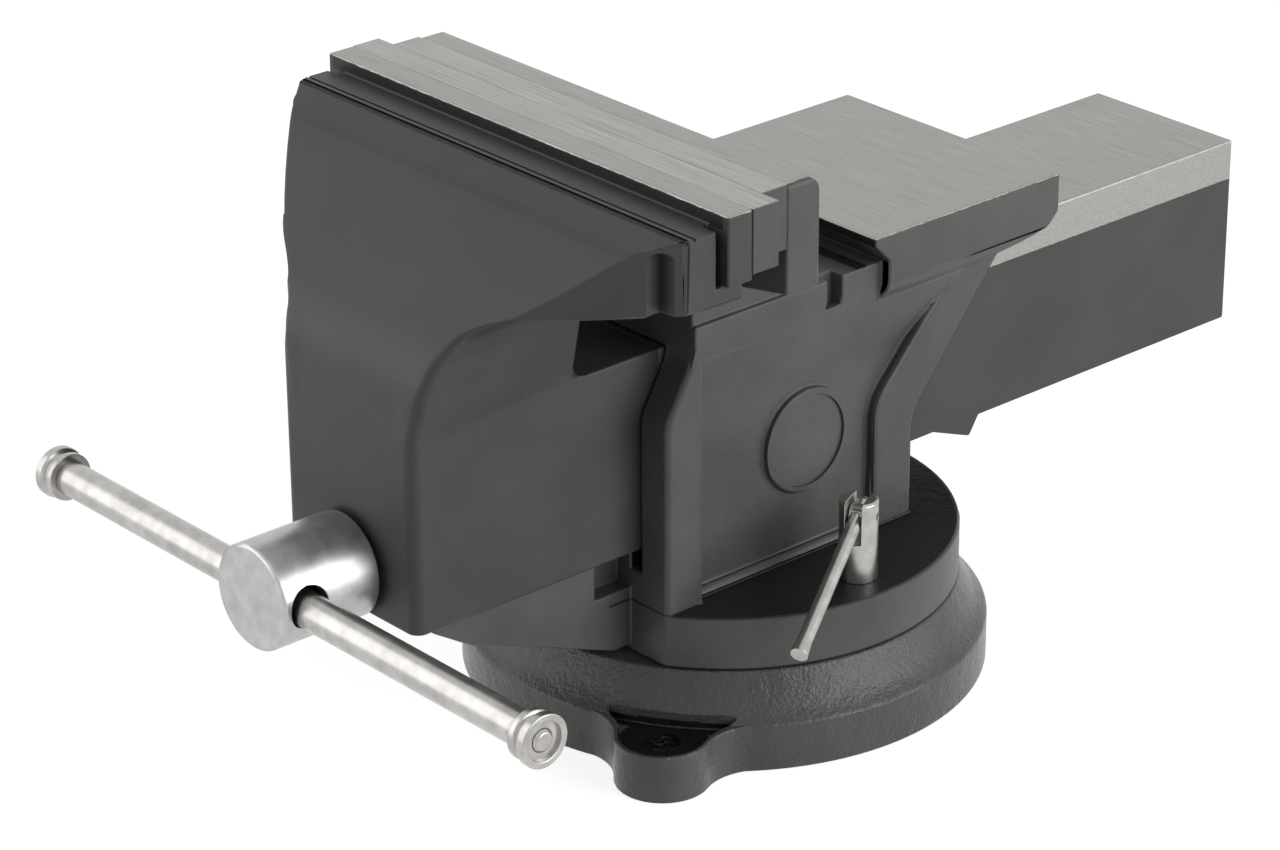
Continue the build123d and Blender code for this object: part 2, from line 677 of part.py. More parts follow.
# Wings of the moving jaw: full width at the strip, narrowing in plan to the neck, with a rising
# underside that turns down into a flare on the neck
z_wing_tip = z_head_bottom
z_wing_root = z_wing_tip - WING_DROP
z_wing_foot = z_wing_root - WING_FOOT_DEPTH
wing_foot_half = slide_half - WING_ROOT_INSET
wing_root_half = slide_half + WING_ROOT_FLARE
y_wing_front = y_neck_front + NOSE_EDGE_ROUND
flank_middle = ((slide_half + block_half) / 2 + WING_BULGE, (y_wing_front + y_ledge_front) / 2 - WING_BULGE)
with BuildPart() as jaw_wings:
    with BuildSketch(Plane.XY.offset(z_wing_foot)):
        for side in (1, -1):
            with BuildLine():
                Polyline(
                    (0, y_wing_front),
                    (side * wing_foot_half, y_wing_front),
                )
                ThreePointArc(
                    (side * wing_foot_half, y_wing_front),
                    (side * flank_middle[0], flank_middle[1]),
                    (side * block_half, y_ledge_front),
                )
                Polyline(
                    (side * block_half, y_ledge_front),
                    (side * block_half, y_head_back),
                    (0, y_head_back),
                    (0, y_wing_front),
                )
            make_face()
        block_corners = [v for v in vertices() if abs(v.Y - y_ledge_front) < SLIDE_GAP]
        fillet(block_corners, BLOCK_ROUND)
    extrude(amount=z_ledge - z_wing_foot)
    with BuildSketch(Plane.YZ):
        with BuildLine():
            jaw_profile()
        make_face()
    extrude(amount=jaw_half, both=True, mode=Mode.INTERSECT)
    with BuildSketch(Plane.XZ):
        with BuildLine():
            FilletPolyline(
                *both_sides(
                    (wing_foot_half, z_wing_foot),
                    (wing_root_half, z_wing_root),
                    (block_half, z_wing_tip),
                    (block_half, z_ledge),
                ),
                radius=(0, WING_HOLLOW, 0, 0, 0, 0, WING_HOLLOW, 0),
                close=True,
            )
        make_face()
    extrude(amount=2 * (CLAMP_REACH + MOVING_REACH), both=True, mode=Mode.INTERSECT)

# Moving jaw casting: slide, neck and head in one, the strip that backs the jaw plate standing
# proud of the wings at both ends
z_slide_cavity = z_slide_top - SLIDE_TOP_WALL
y_lug = y_clamp + LUG_SETBACK
with BuildPart() as moving_jaw:
    with BuildSketch(Plane.YZ):
        with BuildLine():
            jaw_profile()
        make_face()
    extrude(amount=slide_half, both=True)
    nose_edges = edges().filter_by(Axis.Z).group_by(Axis.Y)[0]
    fillet(nose_edges, NOSE_EDGE_ROUND)
    add(jaw_wings.part)
    with BuildSketch(Plane.XZ.offset(-y_moving_face)):
        with Locations((0, z_jaw_top - STRIP_HEIGHT / 2)):
            Rectangle(JAW_WIDTH, STRIP_HEIGHT)
    extrude(amount=STRIP_THICKNESS)
    # Narrow relief at each end, between the strip and the wing
    with BuildSketch(Plane.XY.offset(z_jaw_top - STRIP_HEIGHT)):
        with Locations((jaw_half, y_strip_front - RELIEF_WIDTH / 2), (-jaw_half, y_strip_front - RELIEF_WIDTH / 2)):
            Rectangle(2 * (END_STEP + RELIEF_DEPTH), RELIEF_WIDTH)
    extrude(amount=STRIP_HEIGHT, mode=Mode.SUBTRACT)
    # Arched recess in each flank, ahead of the end block
    with BuildSketch(Plane.YZ.offset(block_half - ARCH_INSET)):
        with Locations((y_ledge_front - ARCH_SETBACK, z_wing_foot)):
            SlotOverall(2 * (z_ledge - z_wing_foot - ARCH_DROP), ARCH_WIDTH, rotation=90)
    extrude(amount=ARCH_INSET, mode=Mode.SUBTRACT)
    with BuildSketch(Plane.YZ.offset(ARCH_INSET - block_half)):
        with Locations((y_ledge_front - ARCH_SETBACK, z_wing_foot)):
            SlotOverall(2 * (z_ledge - z_wing_foot - ARCH_DROP), ARCH_WIDTH, rotation=90)
    extrude(amount=-ARCH_INSET, mode=Mode.SUBTRACT)
    # Two fine grooves along the front edge of the ledge, with a bead between them
    with BuildSketch(Plane.XY.offset(z_ledge)):
        with Locations((0, y_ledge_front), (0, y_ledge_front + BEAD_WIDTH)):
            Rectangle(2 * jaw_half, GROOVE_WIDTH)
    extrude(amount=-GROOVE_DEPTH, mode=Mode.SUBTRACT)
    # Hollow of the slide, open below and behind
    with BuildSketch(Plane.XZ.offset(-y_wall_back)):
        with Locations((0, (z_slide_cavity + z_slide_bottom - SLIDE_TOP_WALL) / 2)):
            Rectangle(2 * slide_inner, z_slide_cavity - z_slide_bottom + SLIDE_TOP_WALL)
    extrude(amount=y_wall_back - y_slide_rear, mode=Mode.SUBTRACT)
    # Wedge-shaped stop lug under the rear half of each wall
    for side in (1, -1):
        with BuildSketch(Plane.YZ.offset(side * slide_half)):
            with BuildLine():
                Polyline(
                    (y_lug, z_slide_bottom),
                    (y_lug + LUG_RAMP, z_slide_bottom - LUG_DEPTH),
                    (y_lug + LUG_LENGTH, z_slide_bottom),
                    (y_lug, z_slide_bottom),
                )
            make_face()
        extrude(amount=-side * LUG_WIDTH)
    # Bore for the spindle through the front wall, and blind holes for the plate screws
    with BuildSketch(Plane.XZ.offset(-y_neck_front)):
        with Locations((0, z_spindle)):
            Circle(screw_bore)
    extrude(amount=-FRONT_WALL, mode=Mode.SUBTRACT)
    with BuildSketch(Plane.XZ.offset(-y_moving_face)):
        with Locations(*screw_places):
            Circle(PLATE_SCREW / 2 + SHAFT_GAP)
    extrude(amount=PLATE_SCREW_DEPTH, mode=Mode.SUBTRACT)
moving_jaw.part.label = "moving_jaw_casting"
export_step(moving_jaw.part, "parts/moving_jaw_casting.step")

# Jaw plates, and their flat head screws sunk below the clamping face. Each plate is drawn on
# its own seat, facing the clamping plane
head_cone = (PLATE_SCREW_HEAD - PLATE_SCREW) / 2
jaw_seats = (
    ("fixed", y_fixed_face, 1, fixed_half),
    ("moving", y_moving_face, -1, jaw_half),
)
for name, y_seat, outward, half_width in jaw_seats:
    with BuildPart() as jaw_plate:
        with BuildSketch(Plane.XZ.offset(-y_seat)):
            with Locations((0, z_plate_middle)):
                Rectangle(2 * half_width, PLATE_HEIGHT)
        extrude(amount=outward * PLATE_THICKNESS)
        for x, z in screw_places:
            with BuildSketch(Plane.YZ.offset(x)):
                with BuildLine():
                    Polyline(
                        (y_seat, z),
                        (y_clamp, z),
                        (y_clamp, z + PLATE_SCREW_HEAD / 2 + SCREW_SEAT_GAP),
                        (y_clamp + outward * PLATE_SCREW_SINK, z + PLATE_SCREW_HEAD / 2 + SCREW_SEAT_GAP),
                        (
                            y_clamp + outward * (PLATE_SCREW_SINK + head_cone),
                            z + PLATE_SCREW / 2 + SCREW_SEAT_GAP,
                        ),
                        (y_seat, z + PLATE_SCREW / 2 + SCREW_SEAT_GAP),
                        (y_seat, z),
                    )
                make_face()
            revolve(axis=Axis((x, 0, z), (0, 1, 0)), mode=Mode.SUBTRACT)
    jaw_plate.part.label = f"{name}_jaw_plate"
    export_step(jaw_plate.part, f"parts/{name}_jaw_plate.step")

    with BuildPart() as plate_screws:
        for x, z in screw_places:
            with BuildSketch(Plane.YZ.offset(x)):
                with BuildLine():
                    Polyline(
                        (y_clamp + outward * PLATE_SCREW_SINK, z),
                        (y_clamp + outward * PLATE_SCREW_SINK, z + PLATE_SCREW_HEAD / 2),
                        (y_clamp + outward * (PLATE_SCREW_SINK + head_cone), z + PLATE_SCREW / 2),
                        (y_seat + outward * (PLATE_SCREW_DEPTH - SLIDE_GAP), z + PLATE_SCREW / 2),
                        (y_seat + outward * (PLATE_SCREW_DEPTH - SLIDE_GAP), z),
                        (y_clamp + outward * PLATE_SCREW_SINK, z),
                    )
                make_face()
            revolve(axis=Axis((x, 0, z), (0, 1, 0)))
    plate_screws.part.label = f"{name}_plate_screws"
    export_step(plate_screws.part, f"parts/{name}_plate_screws.step")

# Pivot bolt up through the hub, with a washer and nut on the channel floor
z_bolt_end = z_floor + PIVOT_WASHER_THICKNESS + PIVOT_NUT_HEIGHT + PIVOT_THREAD_END
with BuildPart() as pivot_bolt:
    with BuildSketch(Plane.XY.offset(BASE_RECESS - PIVOT_HEAD_HEIGHT)):
        RegularPolygon(PIVOT_HEAD_FLATS / 2, 6, major_radius=False)
    extrude(amount=PIVOT_HEAD_HEIGHT)
    with BuildSketch(Plane.XY.offset(BASE_RECESS)):
        Circle(PIVOT_BOLT / 2)
    extrude(amount=z_bolt_end - BASE_RECESS)
    chamfer(faces().sort_by(Axis.Z)[-1].edges(), PIVOT_POINT_BEVEL)
pivot_bolt.part.label = "pivot_bolt"
export_step(pivot_bolt.part, "parts/pivot_bolt.step")

with BuildPart() as pivot_washer:
    with BuildSketch(Plane.XY.offset(z_floor)):
        Circle(PIVOT_WASHER_RADIUS)
        Circle(pivot_bore, mode=Mode.SUBTRACT)
    extrude(amount=PIVOT_WASHER_THICKNESS)
pivot_washer.part.label = "pivot_washer"
export_step(pivot_washer.part, "parts/pivot_washer.step")

with BuildPart() as pivot_nut:
    with BuildSketch(Plane.XY.offset(z_floor + PIVOT_WASHER_THICKNESS)):
        RegularPolygon(PIVOT_HEAD_FLATS / 2, 6, major_radius=False)
        Circle(pivot_bore, mode=Mode.SUBTRACT)
    extrude(amount=PIVOT_NUT_HEIGHT)
pivot_nut.part.label = "pivot_nut"
export_step(pivot_nut.part, "parts/pivot_nut.step")

# Clamp studs: square heads held in the T-slot, shanks up through the disc
stud_places = ((tslot_radius, 0), (-tslot_radius, 0))
with BuildPart() as clamp_studs:
    with BuildSketch(Plane.XY.offset(z_tslot_roof)):
        with Locations(*stud_places):
            Rectangle(STUD_HEAD, STUD_HEAD)
    extrude(amount=-STUD_HEAD_HEIGHT)
    with BuildSketch(Plane.XY.offset(z_tslot_roof)):
        with Locations(*stud_places):
            Circle(STUD / 2)
    extrude(amount=z_disc_top + STUD_RISE - z_tslot_roof)
clamp_studs.part.label = "clamp_studs"
export_step(clamp_studs.part, "parts/clamp_studs.step")

# Lock nuts, one a side: a tall round nut on the stud, its top slotted for a tilting lever that
# turns on a cross pin
z_nut_top = z_disc_top + LOCK_NUT_HEIGHT
z_lever_pivot = z_nut_top - LEVER_PIVOT_DROP
droop = radians(LEVER_DROOP)
heading = radians(LEVER_HEADING)
for name, side in (("right", 1), ("left", -1)):
    x_nut = side * tslot_radius
    across = Vector(side * sin(heading), cos(heading), 0)
    along = Vector(side * cos(heading), -sin(heading), 0)
    pivot = Vector(x_nut, 0, z_lever_pivot)
    rod_way = along * cos(droop) - Vector(0, 0, 1) * sin(droop)
    nut_plane = Plane(origin=(x_nut, 0, z_disc_top), x_dir=along, z_dir=(0, 0, 1))
    pin_plane = Plane(origin=pivot, x_dir=along, z_dir=across)
    rod_plane = Plane(origin=pivot, x_dir=rod_way, z_dir=across)

    with BuildPart() as lock_nut:
        with BuildSketch(nut_plane):
            Circle(LOCK_NUT_RADIUS)
        extrude(amount=LOCK_NUT_HEIGHT)
        chamfer(faces().sort_by(Axis.Z)[-1].edges(), LOCK_NUT_BEVEL)
        with BuildSketch(nut_plane):
            Circle(stud_bore)
        extrude(amount=STUD_RISE + SLIDE_GAP, mode=Mode.SUBTRACT)
        with BuildSketch(nut_plane.offset(LOCK_NUT_HEIGHT)):
            Rectangle(4 * LOCK_NUT_RADIUS, LEVER_SLOT_WIDTH)
        extrude(amount=-LEVER_SLOT_DEPTH, mode=Mode.SUBTRACT)
        with BuildSketch(pin_plane):
            Circle(LEVER_PIN / 2 + SHAFT_GAP)
        extrude(amount=2 * LOCK_NUT_RADIUS, both=True, mode=Mode.SUBTRACT)
    lock_nut.part.label = f"lock_nut_{name}"
    export_step(lock_nut.part, f"parts/lock_nut_{name}.step")

    with BuildPart() as lever_pin:
        with BuildSketch(pin_plane):
            Circle(LEVER_PIN / 2)
        extrude(amount=LOCK_NUT_RADIUS - SLIDE_GAP, both=True)
    lever_pin.part.label = f"lever_pin_{name}"
    export_step(lever_pin.part, f"parts/lever_pin_{name}.step")

    with BuildPart() as lock_lever:
        with BuildSketch(rod_plane):
            with BuildLine():
                Polyline(
                    (LEVER_REACH, 0),
                    (LEVER_REACH, LEVER_ROD / 2 + LEVER_FLARE),
                    (LEVER_REACH - LEVER_FLARE, LEVER_ROD / 2 + LEVER_FLARE),
                    (LEVER_REACH - LEVER_FLARE_LENGTH, LEVER_ROD / 2),
                    (LEVER_PIN - LEVER_TAIL, LEVER_ROD / 2),
                    (-LEVER_TAIL, LEVER_TAIL_RADIUS),
                    (-LEVER_TAIL, 0),
                    (LEVER_REACH, 0),
                )
            make_face()
        revolve(axis=Axis(pivot, rod_way))
        with BuildSketch(rod_plane):
            Circle(LEVER_EYE_RADIUS)
        extrude(amount=LEVER_SLOT_WIDTH / 2 - SLIDE_GAP, both=True)
        with BuildSketch(rod_plane):
            Circle(LEVER_PIN / 2 + SHAFT_GAP)
        extrude(amount=LEVER_ROD, both=True, mode=Mode.SUBTRACT)
    lock_lever.part.label = f"lock_lever_{name}"
    export_step(lock_lever.part, f"parts/lock_lever_{name}.step")

# Spindle nut: a round-backed block on a flat foot, bolted to the channel floor
with BuildPart() as spindle_nut:
    with BuildSketch(Plane.XZ.offset(-y_nut_front)):
        with Locations((0, z_spindle)):
            Circle(NUT_RADIUS)
        with Locations((0, (z_floor + z_spindle) / 2)):
            Rectangle(2 * NUT_RADIUS, z_spindle - z_floor)
        with Locations((0, z_spindle)):
            Circle(screw_bore, mode=Mode.SUBTRACT)
    extrude(amount=-NUT_LENGTH)
    with BuildSketch(Plane.XY.offset(z_floor)):
        with Locations((0, (y_foot_front + y_nut_rear) / 2)):
            Rectangle(NUT_FOOT_WIDTH, NUT_FOOT_LENGTH + NUT_LENGTH)
        with Locations(*nut_bolt_places):
            Circle(NUT_BOLT / 2 + SHAFT_GAP, mode=Mode.SUBTRACT)
    extrude(amount=NUT_FOOT_HEIGHT)
spindle_nut.part.label = "spindle_nut"
export_step(spindle_nut.part, "parts/spindle_nut.step")

with BuildPart() as nut_bolts:
    with BuildSketch(Plane.XY.offset(z_floor + NUT_FOOT_HEIGHT)):
        with Locations(*nut_bolt_places):
            RegularPolygon(NUT_BOLT_FLATS / 2, 6, major_radius=False)
    extrude(amount=NUT_BOLT_HEAD)
    with BuildSketch(Plane.XY.offset(z_floor + NUT_FOOT_HEIGHT)):
        with Locations(*nut_bolt_places):
            Circle(NUT_BOLT / 2)
    extrude(amount=SLIDE_GAP - NUT_FOOT_HEIGHT - NUT_BOLT_DEPTH)
nut_bolts.part.label = "spindle_nut_bolts"
export_step(nut_bolts.part, "parts/spindle_nut_bolts.step")

# Spindle: a round head cross-drilled for the handle, and the screw behind it
y_collar_front = y_wall_back + SLIDE_GAP
y_collar_middle = y_collar_front + COLLAR_LENGTH / 2
y_screw_end = y_slide_rear - SPINDLE_TAIL
with BuildPart() as spindle:
    with BuildSketch(Plane.XZ.offset(-y_head_front)):
        with Locations((0, z_spindle)):
            Circle(SPINDLE_HEAD / 2)
    extrude(amount=-SPINDLE_HEAD_LENGTH)
    chamfer(edges().sort_by(Axis.Y)[0], SPINDLE_HEAD_BEVEL)
    with BuildSketch(Plane.XZ.offset(-y_washer)):
        with Locations((0, z_spindle)):
            Circle(SPINDLE_SCREW / 2)
    extrude(amount=y_washer - y_screw_end)
    chamfer(faces().sort_by(Axis.Y)[-1].edges(), WASHER_THICKNESS)
    with BuildSketch(Plane.YZ):
        with Locations((y_handle, z_spindle)):
            Circle(HANDLE_BAR / 2 + HANDLE_GAP)
    extrude(amount=SPINDLE_HEAD, both=True, mode=Mode.SUBTRACT)
    with BuildSketch(Plane.XY.offset(z_spindle)):
        with Locations((0, y_collar_middle)):
            Circle(COLLAR_PIN / 2 + SHAFT_GAP)
    extrude(amount=SPINDLE_SCREW, both=True, mode=Mode.SUBTRACT)
spindle.part.label = "spindle"
export_step(spindle.part, "parts/spindle.step")

with BuildPart() as thrust_washer:
    with BuildSketch(Plane.XZ.offset(-y_washer)):
        with Locations((0, z_spindle)):
            Circle(WASHER_RADIUS)
            Circle(screw_bore, mode=Mode.SUBTRACT)
    extrude(amount=-WASHER_THICKNESS)
thrust_washer.part.label = "thrust_washer"
export_step(thrust_washer.part, "parts/thrust_washer.step")

with BuildPart() as retaining_collar:
    with BuildSketch(Plane.XZ.offset(-y_collar_front)):
        with Locations((0, z_spindle)):
            Circle(COLLAR_RADIUS)
            Circle(screw_bore, mode=Mode.SUBTRACT)
    extrude(amount=-COLLAR_LENGTH)
    with BuildSketch(Plane.XY.offset(z_spindle)):
        with Locations((0, y_collar_middle)):
            Circle(COLLAR_PIN / 2 + SHAFT_GAP)
    extrude(amount=SPINDLE_HEAD, both=True, mode=Mode.SUBTRACT)
retaining_collar.part.label = "retaining_collar"
export_step(retaining_collar.part, "parts/retaining_collar.step")

with BuildPart() as collar_pin:
    with BuildSketch(Plane.XY.offset(z_spindle)):
        with Locations((0, y_collar_middle)):
            Circle(COLLAR_PIN / 2)
    extrude(amount=COLLAR_RADIUS - SLIDE_GAP, both=True)
collar_pin.part.label = "collar_pin"
export_step(collar_pin.part, "parts/collar_pin.step")

# Handle: a straight bar that lies on the bottom of the wider hole in the spindle head, with a
# turned knob riveted on each end
bar_half = HANDLE_LENGTH / 2 - KNOB_LENGTH
knob_bore = KNOB_TENON / 2 + SHAFT_GAP
with BuildPart() as handle_bar:
    with BuildSketch(Plane.YZ.offset(HANDLE_OFFSET)):
        with Locations((y_handle, z_handle)):
            Circle(HANDLE_BAR / 2)
    extrude(amount=bar_half, both=True)
    with BuildSketch(Plane.YZ.offset(HANDLE_OFFSET)):
        with Locations((y_handle, z_handle)):
            Circle(KNOB_TENON / 2)
    extrude(amount=HANDLE_LENGTH / 2, both=True)
    chamfer(edges().sort_by(Axis.X)[0], TENON_BEVEL)
    chamfer(edges().sort_by(Axis.X)[-1], TENON_BEVEL)
handle_bar.part.label = "handle_bar"
export_step(handle_bar.part, "parts/handle_bar.step")

for name, side in (("right", 1), ("left", -1)):
    x_inner = HANDLE_OFFSET + side * bar_half
    x_outer = HANDLE_OFFSET + side * HANDLE_LENGTH / 2
    with BuildPart() as handle_knob:
        with BuildSketch(Plane.XY.offset(z_handle)):
            with BuildLine():
                Polyline(
                    (x_inner, y_handle + knob_bore),
                    (x_inner, y_handle + KNOB_COLLAR_RADIUS),
                    (x_inner + side * KNOB_COLLAR, y_handle + KNOB_COLLAR_RADIUS),
                    (x_inner + side * (KNOB_COLLAR + KNOB_BEVEL), y_handle + KNOB_WAIST),
                    (x_outer - side * (KNOB_RIM + KNOB_BEVEL), y_handle + KNOB_WAIST),
                    (x_outer - side * KNOB_RIM, y_handle + KNOB_RADIUS),
                    (x_outer, y_handle + KNOB_RADIUS),
                    (x_outer, y_handle + KNOB_RECESS_RADIUS),
                    (x_outer - side * KNOB_RECESS_DEPTH, y_handle + KNOB_RECESS_RADIUS),
                    (x_outer - side * KNOB_RECESS_DEPTH, y_handle + knob_bore),
                    (x_inner, y_handle + knob_bore),
                )
            make_face()
        revolve(axis=Axis((0, y_handle, z_handle), (1, 0, 0)))
    handle_knob.part.label = f"handle_knob_{name}"
    export_step(handle_knob.part, f"parts/handle_knob_{name}.step")
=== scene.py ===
import bpy
import bmesh
from math import cos, pi, radians, sin, tau
import numpy as np
from mathutils import Matrix, Vector


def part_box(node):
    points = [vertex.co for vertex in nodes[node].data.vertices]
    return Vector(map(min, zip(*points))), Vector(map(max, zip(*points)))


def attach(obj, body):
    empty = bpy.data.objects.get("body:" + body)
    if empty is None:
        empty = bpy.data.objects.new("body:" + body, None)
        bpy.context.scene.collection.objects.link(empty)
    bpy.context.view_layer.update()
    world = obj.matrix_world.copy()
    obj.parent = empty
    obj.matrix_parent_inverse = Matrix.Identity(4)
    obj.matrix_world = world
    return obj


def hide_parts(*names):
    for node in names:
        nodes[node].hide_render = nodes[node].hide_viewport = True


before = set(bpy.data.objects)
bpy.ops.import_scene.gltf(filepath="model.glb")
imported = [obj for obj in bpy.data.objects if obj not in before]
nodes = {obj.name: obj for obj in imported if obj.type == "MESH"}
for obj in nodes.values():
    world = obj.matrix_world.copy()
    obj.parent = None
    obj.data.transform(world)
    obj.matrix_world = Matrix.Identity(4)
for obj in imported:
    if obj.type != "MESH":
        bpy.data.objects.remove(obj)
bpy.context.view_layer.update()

MM = 0.001


# Swivel base. A grey iron ring cast in sand, with an annular T-slot for the clamp studs and two
# bolting lugs. It is painted in dark grey enamel, with the sand's grain left under the paint. Its
# bolt pockets, bolt holes and the pocket walls under the shoulder are painted near-black: painted
# shade.
def linear(hex_colour):
    """sRGB hex to linear light: a straight slope near black, and a power of 2.4 above it."""
    channels = np.array([int(hex_colour[i:i + 2], 16) for i in (1, 3, 5)]) / 255
    light = np.where(channels <= 0.04045, channels / 12.92, ((channels + 0.055) / 1.055) ** 2.4)
    return (*light, 1.0)


def add(tree, kind, inputs=None, **settings):
    """Adds one shader node. inputs gives its sockets a value, or a socket to be linked from."""
    made = tree.nodes.new("ShaderNode" + kind)
    for key, value in settings.items():
        setattr(made, key, value)
    for key, value in (inputs or {}).items():
        if isinstance(value, bpy.types.NodeSocket):
            tree.links.new(value, made.inputs[key])
        else:
            made.inputs[key].default_value = value
    return made


def new_material(name):
    """An empty node material and its node tree."""
    material = bpy.data.materials.new(name)
    material.use_nodes = True
    material.node_tree.nodes.clear()
    return material, material.node_tree


def finish_surface(tree, inputs):
    """Gives the material its Principled shader, with these inputs, joined to the output."""
    shader = add(tree, "BsdfPrincipled", inputs)
    add(tree, "OutputMaterial", {"Surface": shader.outputs["BSDF"]})


def noise(tree, place, grain_mm, detail, **more):
    """Noise with grains of about grain_mm."""
    grains = {"Vector": place, "Scale": 1 / (grain_mm * MM), "Detail": detail, **more}
    return add(tree, "TexNoise", grains).outputs["Fac"]


def drawn_lines(tree, place, long_mm, apart_mm):
    """Noise drawn out into lines that run across the vise, long_mm long and apart_mm apart."""
    line = Vector((long_mm, apart_mm, apart_mm)) * MM
    along = add(tree, "Mapping", {"Vector": place, "Scale": [1 / length for length in line]})
    lines = {"Vector": along.outputs[0], "Scale": 1.0, "Detail": 3.0}
    return add(tree, "TexNoise", lines).outputs["Fac"]


def blend_colours(tree, factor, start, low, end, high):
    """The colour low up to the factor start, high from the factor end on, and a blend between."""
    ramp = add(tree, "ValToRGB", {"Fac": factor})
    for stop, at, colour in zip(ramp.color_ramp.elements, (start, end), (low, high)):
        stop.position = at
        stop.color = linear(colour)
    return ramp.outputs["Color"]


def inside_box(tree, place, low, high):
    """1 where place is inside the box from low to high, both in mm: the largest of
    |place - middle| - half is below 0."""
    middle = (Vector(low) + Vector(high)) / 2 * MM
    half = (Vector(high) - Vector(low)) / 2 * MM
    offset = add(tree, "VectorMath", {0: place, 1: middle}, operation="SUBTRACT")
    size = add(tree, "VectorMath", {0: offset.outputs[0]}, operation="ABSOLUTE")
    over = add(tree, "VectorMath", {0: size.outputs[0], 1: half}, operation="SUBTRACT")
    parts = add(tree, "SeparateXYZ", {0: over.outputs[0]})
    largest = add(tree, "Math", {0: parts.outputs[0], 1: parts.outputs[1]}, operation="MAXIMUM")
    largest = add(tree, "Math", {0: largest.outputs[0], 1: parts.outputs[2]}, operation="MAXIMUM")
    return add(tree, "Math", {0: largest.outputs[0], 1: 0.0}, operation="LESS_THAN").outputs[0]


def inside_any_box(tree, place, boxes):
    """1 where place is inside at least one of the boxes: the largest of their own values."""
    inside = inside_box(tree, place, *boxes[0])
    for box in boxes[1:]:
        other = inside_box(tree, place, *box)
        inside = add(tree, "Math", {0: inside, 1: other}, operation="MAXIMUM").outputs[0]
    return inside


def inside_ring(tree, place, centre, inner, outer, low, high):
    """1 where place lies between the radii inner and outer round the upright line through centre,
    and between the heights low and high, all in mm: each measure is within half its range of
    the range's middle."""
    offset = add(tree, "VectorMath", {0: place, 1: Vector((*centre, 0)) * MM}, operation="SUBTRACT")
    flat = add(tree, "VectorMath", {0: offset.outputs[0], 1: (1, 1, 0)}, operation="MULTIPLY")
    away = add(tree, "VectorMath", {0: flat.outputs[0]}, operation="LENGTH").outputs["Value"]
    height = add(tree, "SeparateXYZ", {0: place}).outputs["Z"]
    inside = []
    for measure, least, most in ((away, inner, outer), (height, low, high)):
        span = {0: measure, 1: (least + most) / 2 * MM, 2: (most - least) / 2 * MM}
        inside.append(add(tree, "Math", span, operation="COMPARE").outputs[0])
    return add(tree, "Math", {0: inside[0], 1: inside[1]}, operation="MULTIPLY").outputs[0]


def enamelled_iron(name, low, high, grain, sheen=0.38, painted_shade_boxes=(), rings=(), bare=()):
    """Dark grey alkyd enamel over sand-cast iron, milled bare in the bare boxes, and painted
    near-black
    in the shade boxes and rings: painted shade for recesses, gaps and overhangs.

    The paint is satin, with the 1.3 mm grain of the sand and a 7 mm swell showing through it, and
    a slow 35 mm change of tone from low to high. The milled metal has a slightly ragged edge, and
    cutter lines 0.4 mm apart and 24 mm long that run across the vise.
    """
    material, tree = new_material(name)
    place = add(tree, "TexCoord").outputs["Object"]
    tone = noise(tree, place, 35, 3.0)
    colour = blend_colours(tree, tone, 0.3, low, 0.7, high)
    gloss = add(tree, "MapRange", {"Value": tone, "To Min": sheen, "To Max": sheen + 0.12})
    rough = gloss.outputs["Result"]
    # Painted shade: the near-black #151515 is mixed into the enamel wherever a shade box or ring
    # holds the point.
    painted_shade_masks = [inside_box(tree, place, *box) for box in painted_shade_boxes]
    painted_shade_masks += [inside_ring(tree, place, *ring) for ring in rings]
    for black in painted_shade_masks:
        painted_shade_mix = {"Factor": black, "A": colour, "B": linear("#151515")}
        colour = add(tree, "Mix", painted_shade_mix, data_type="RGBA").outputs["Result"]
    sand = noise(tree, place, 1.3, 2.0, Roughness=0.6)
    swell = noise(tree, place, 7, 2.0)
    fine = add(tree, "Bump", {"Height": sand, "Strength": 0.3 * grain, "Distance": 0.4 * MM})
    wavy = {"Height": swell, "Strength": 0.35 * grain, "Distance": 0.5 * MM}
    relief = add(tree, "Bump", {**wavy, "Normal": fine.outputs["Normal"]})
    metal = 0.0
    if bare:
        # The noise's colour is a shift with a noise of its own in each direction
        ragged = noise(tree, place, 3, 2.0).node.outputs["Color"]
        shift = add(tree, "VectorMath", {0: ragged, 1: (0.5, 0.5, 0.5)}, operation="SUBTRACT")
        shift = add(tree, "VectorMath", {0: shift.outputs[0], "Scale": 0.5 * MM}, operation="SCALE")
        edge = add(tree, "VectorMath", {0: place, 1: shift.outputs[0]}, operation="ADD").outputs[0]
        metal = inside_any_box(tree, edge, bare)
        lines = drawn_lines(tree, place, 24, 0.4)
        steel = blend_colours(tree, lines, 0.25, "#878683", 0.75, "#a9a8a4")
        milled = add(tree, "MapRange", {"Value": lines, "To Min": 0.34, "To Max": 0.46})
        mixed = add(tree, "Mix", {"Factor": metal, "A": colour, "B": steel}, data_type="RGBA")
        colour = mixed.outputs["Result"]
        blend = {"Factor": metal, "A": rough, "B": milled.outputs["Result"]}
        rough = add(tree, "Mix", blend, data_type="FLOAT").outputs["Result"]
    finish_surface(tree, {
        "Base Color": colour, "Metallic": metal, "Roughness": rough, "Specular IOR Level": 0.35,
        "Normal": relief.outputs["Normal"],
    })
    return material


def values(items, key, kind=float, width=1):
    """One property of every item of a mesh as an array, with rows if width is over 1."""
    found = np.empty(width * len(items), kind)
    items.foreach_get(key, found)
    return found.reshape(-1, width) if width > 1 else found


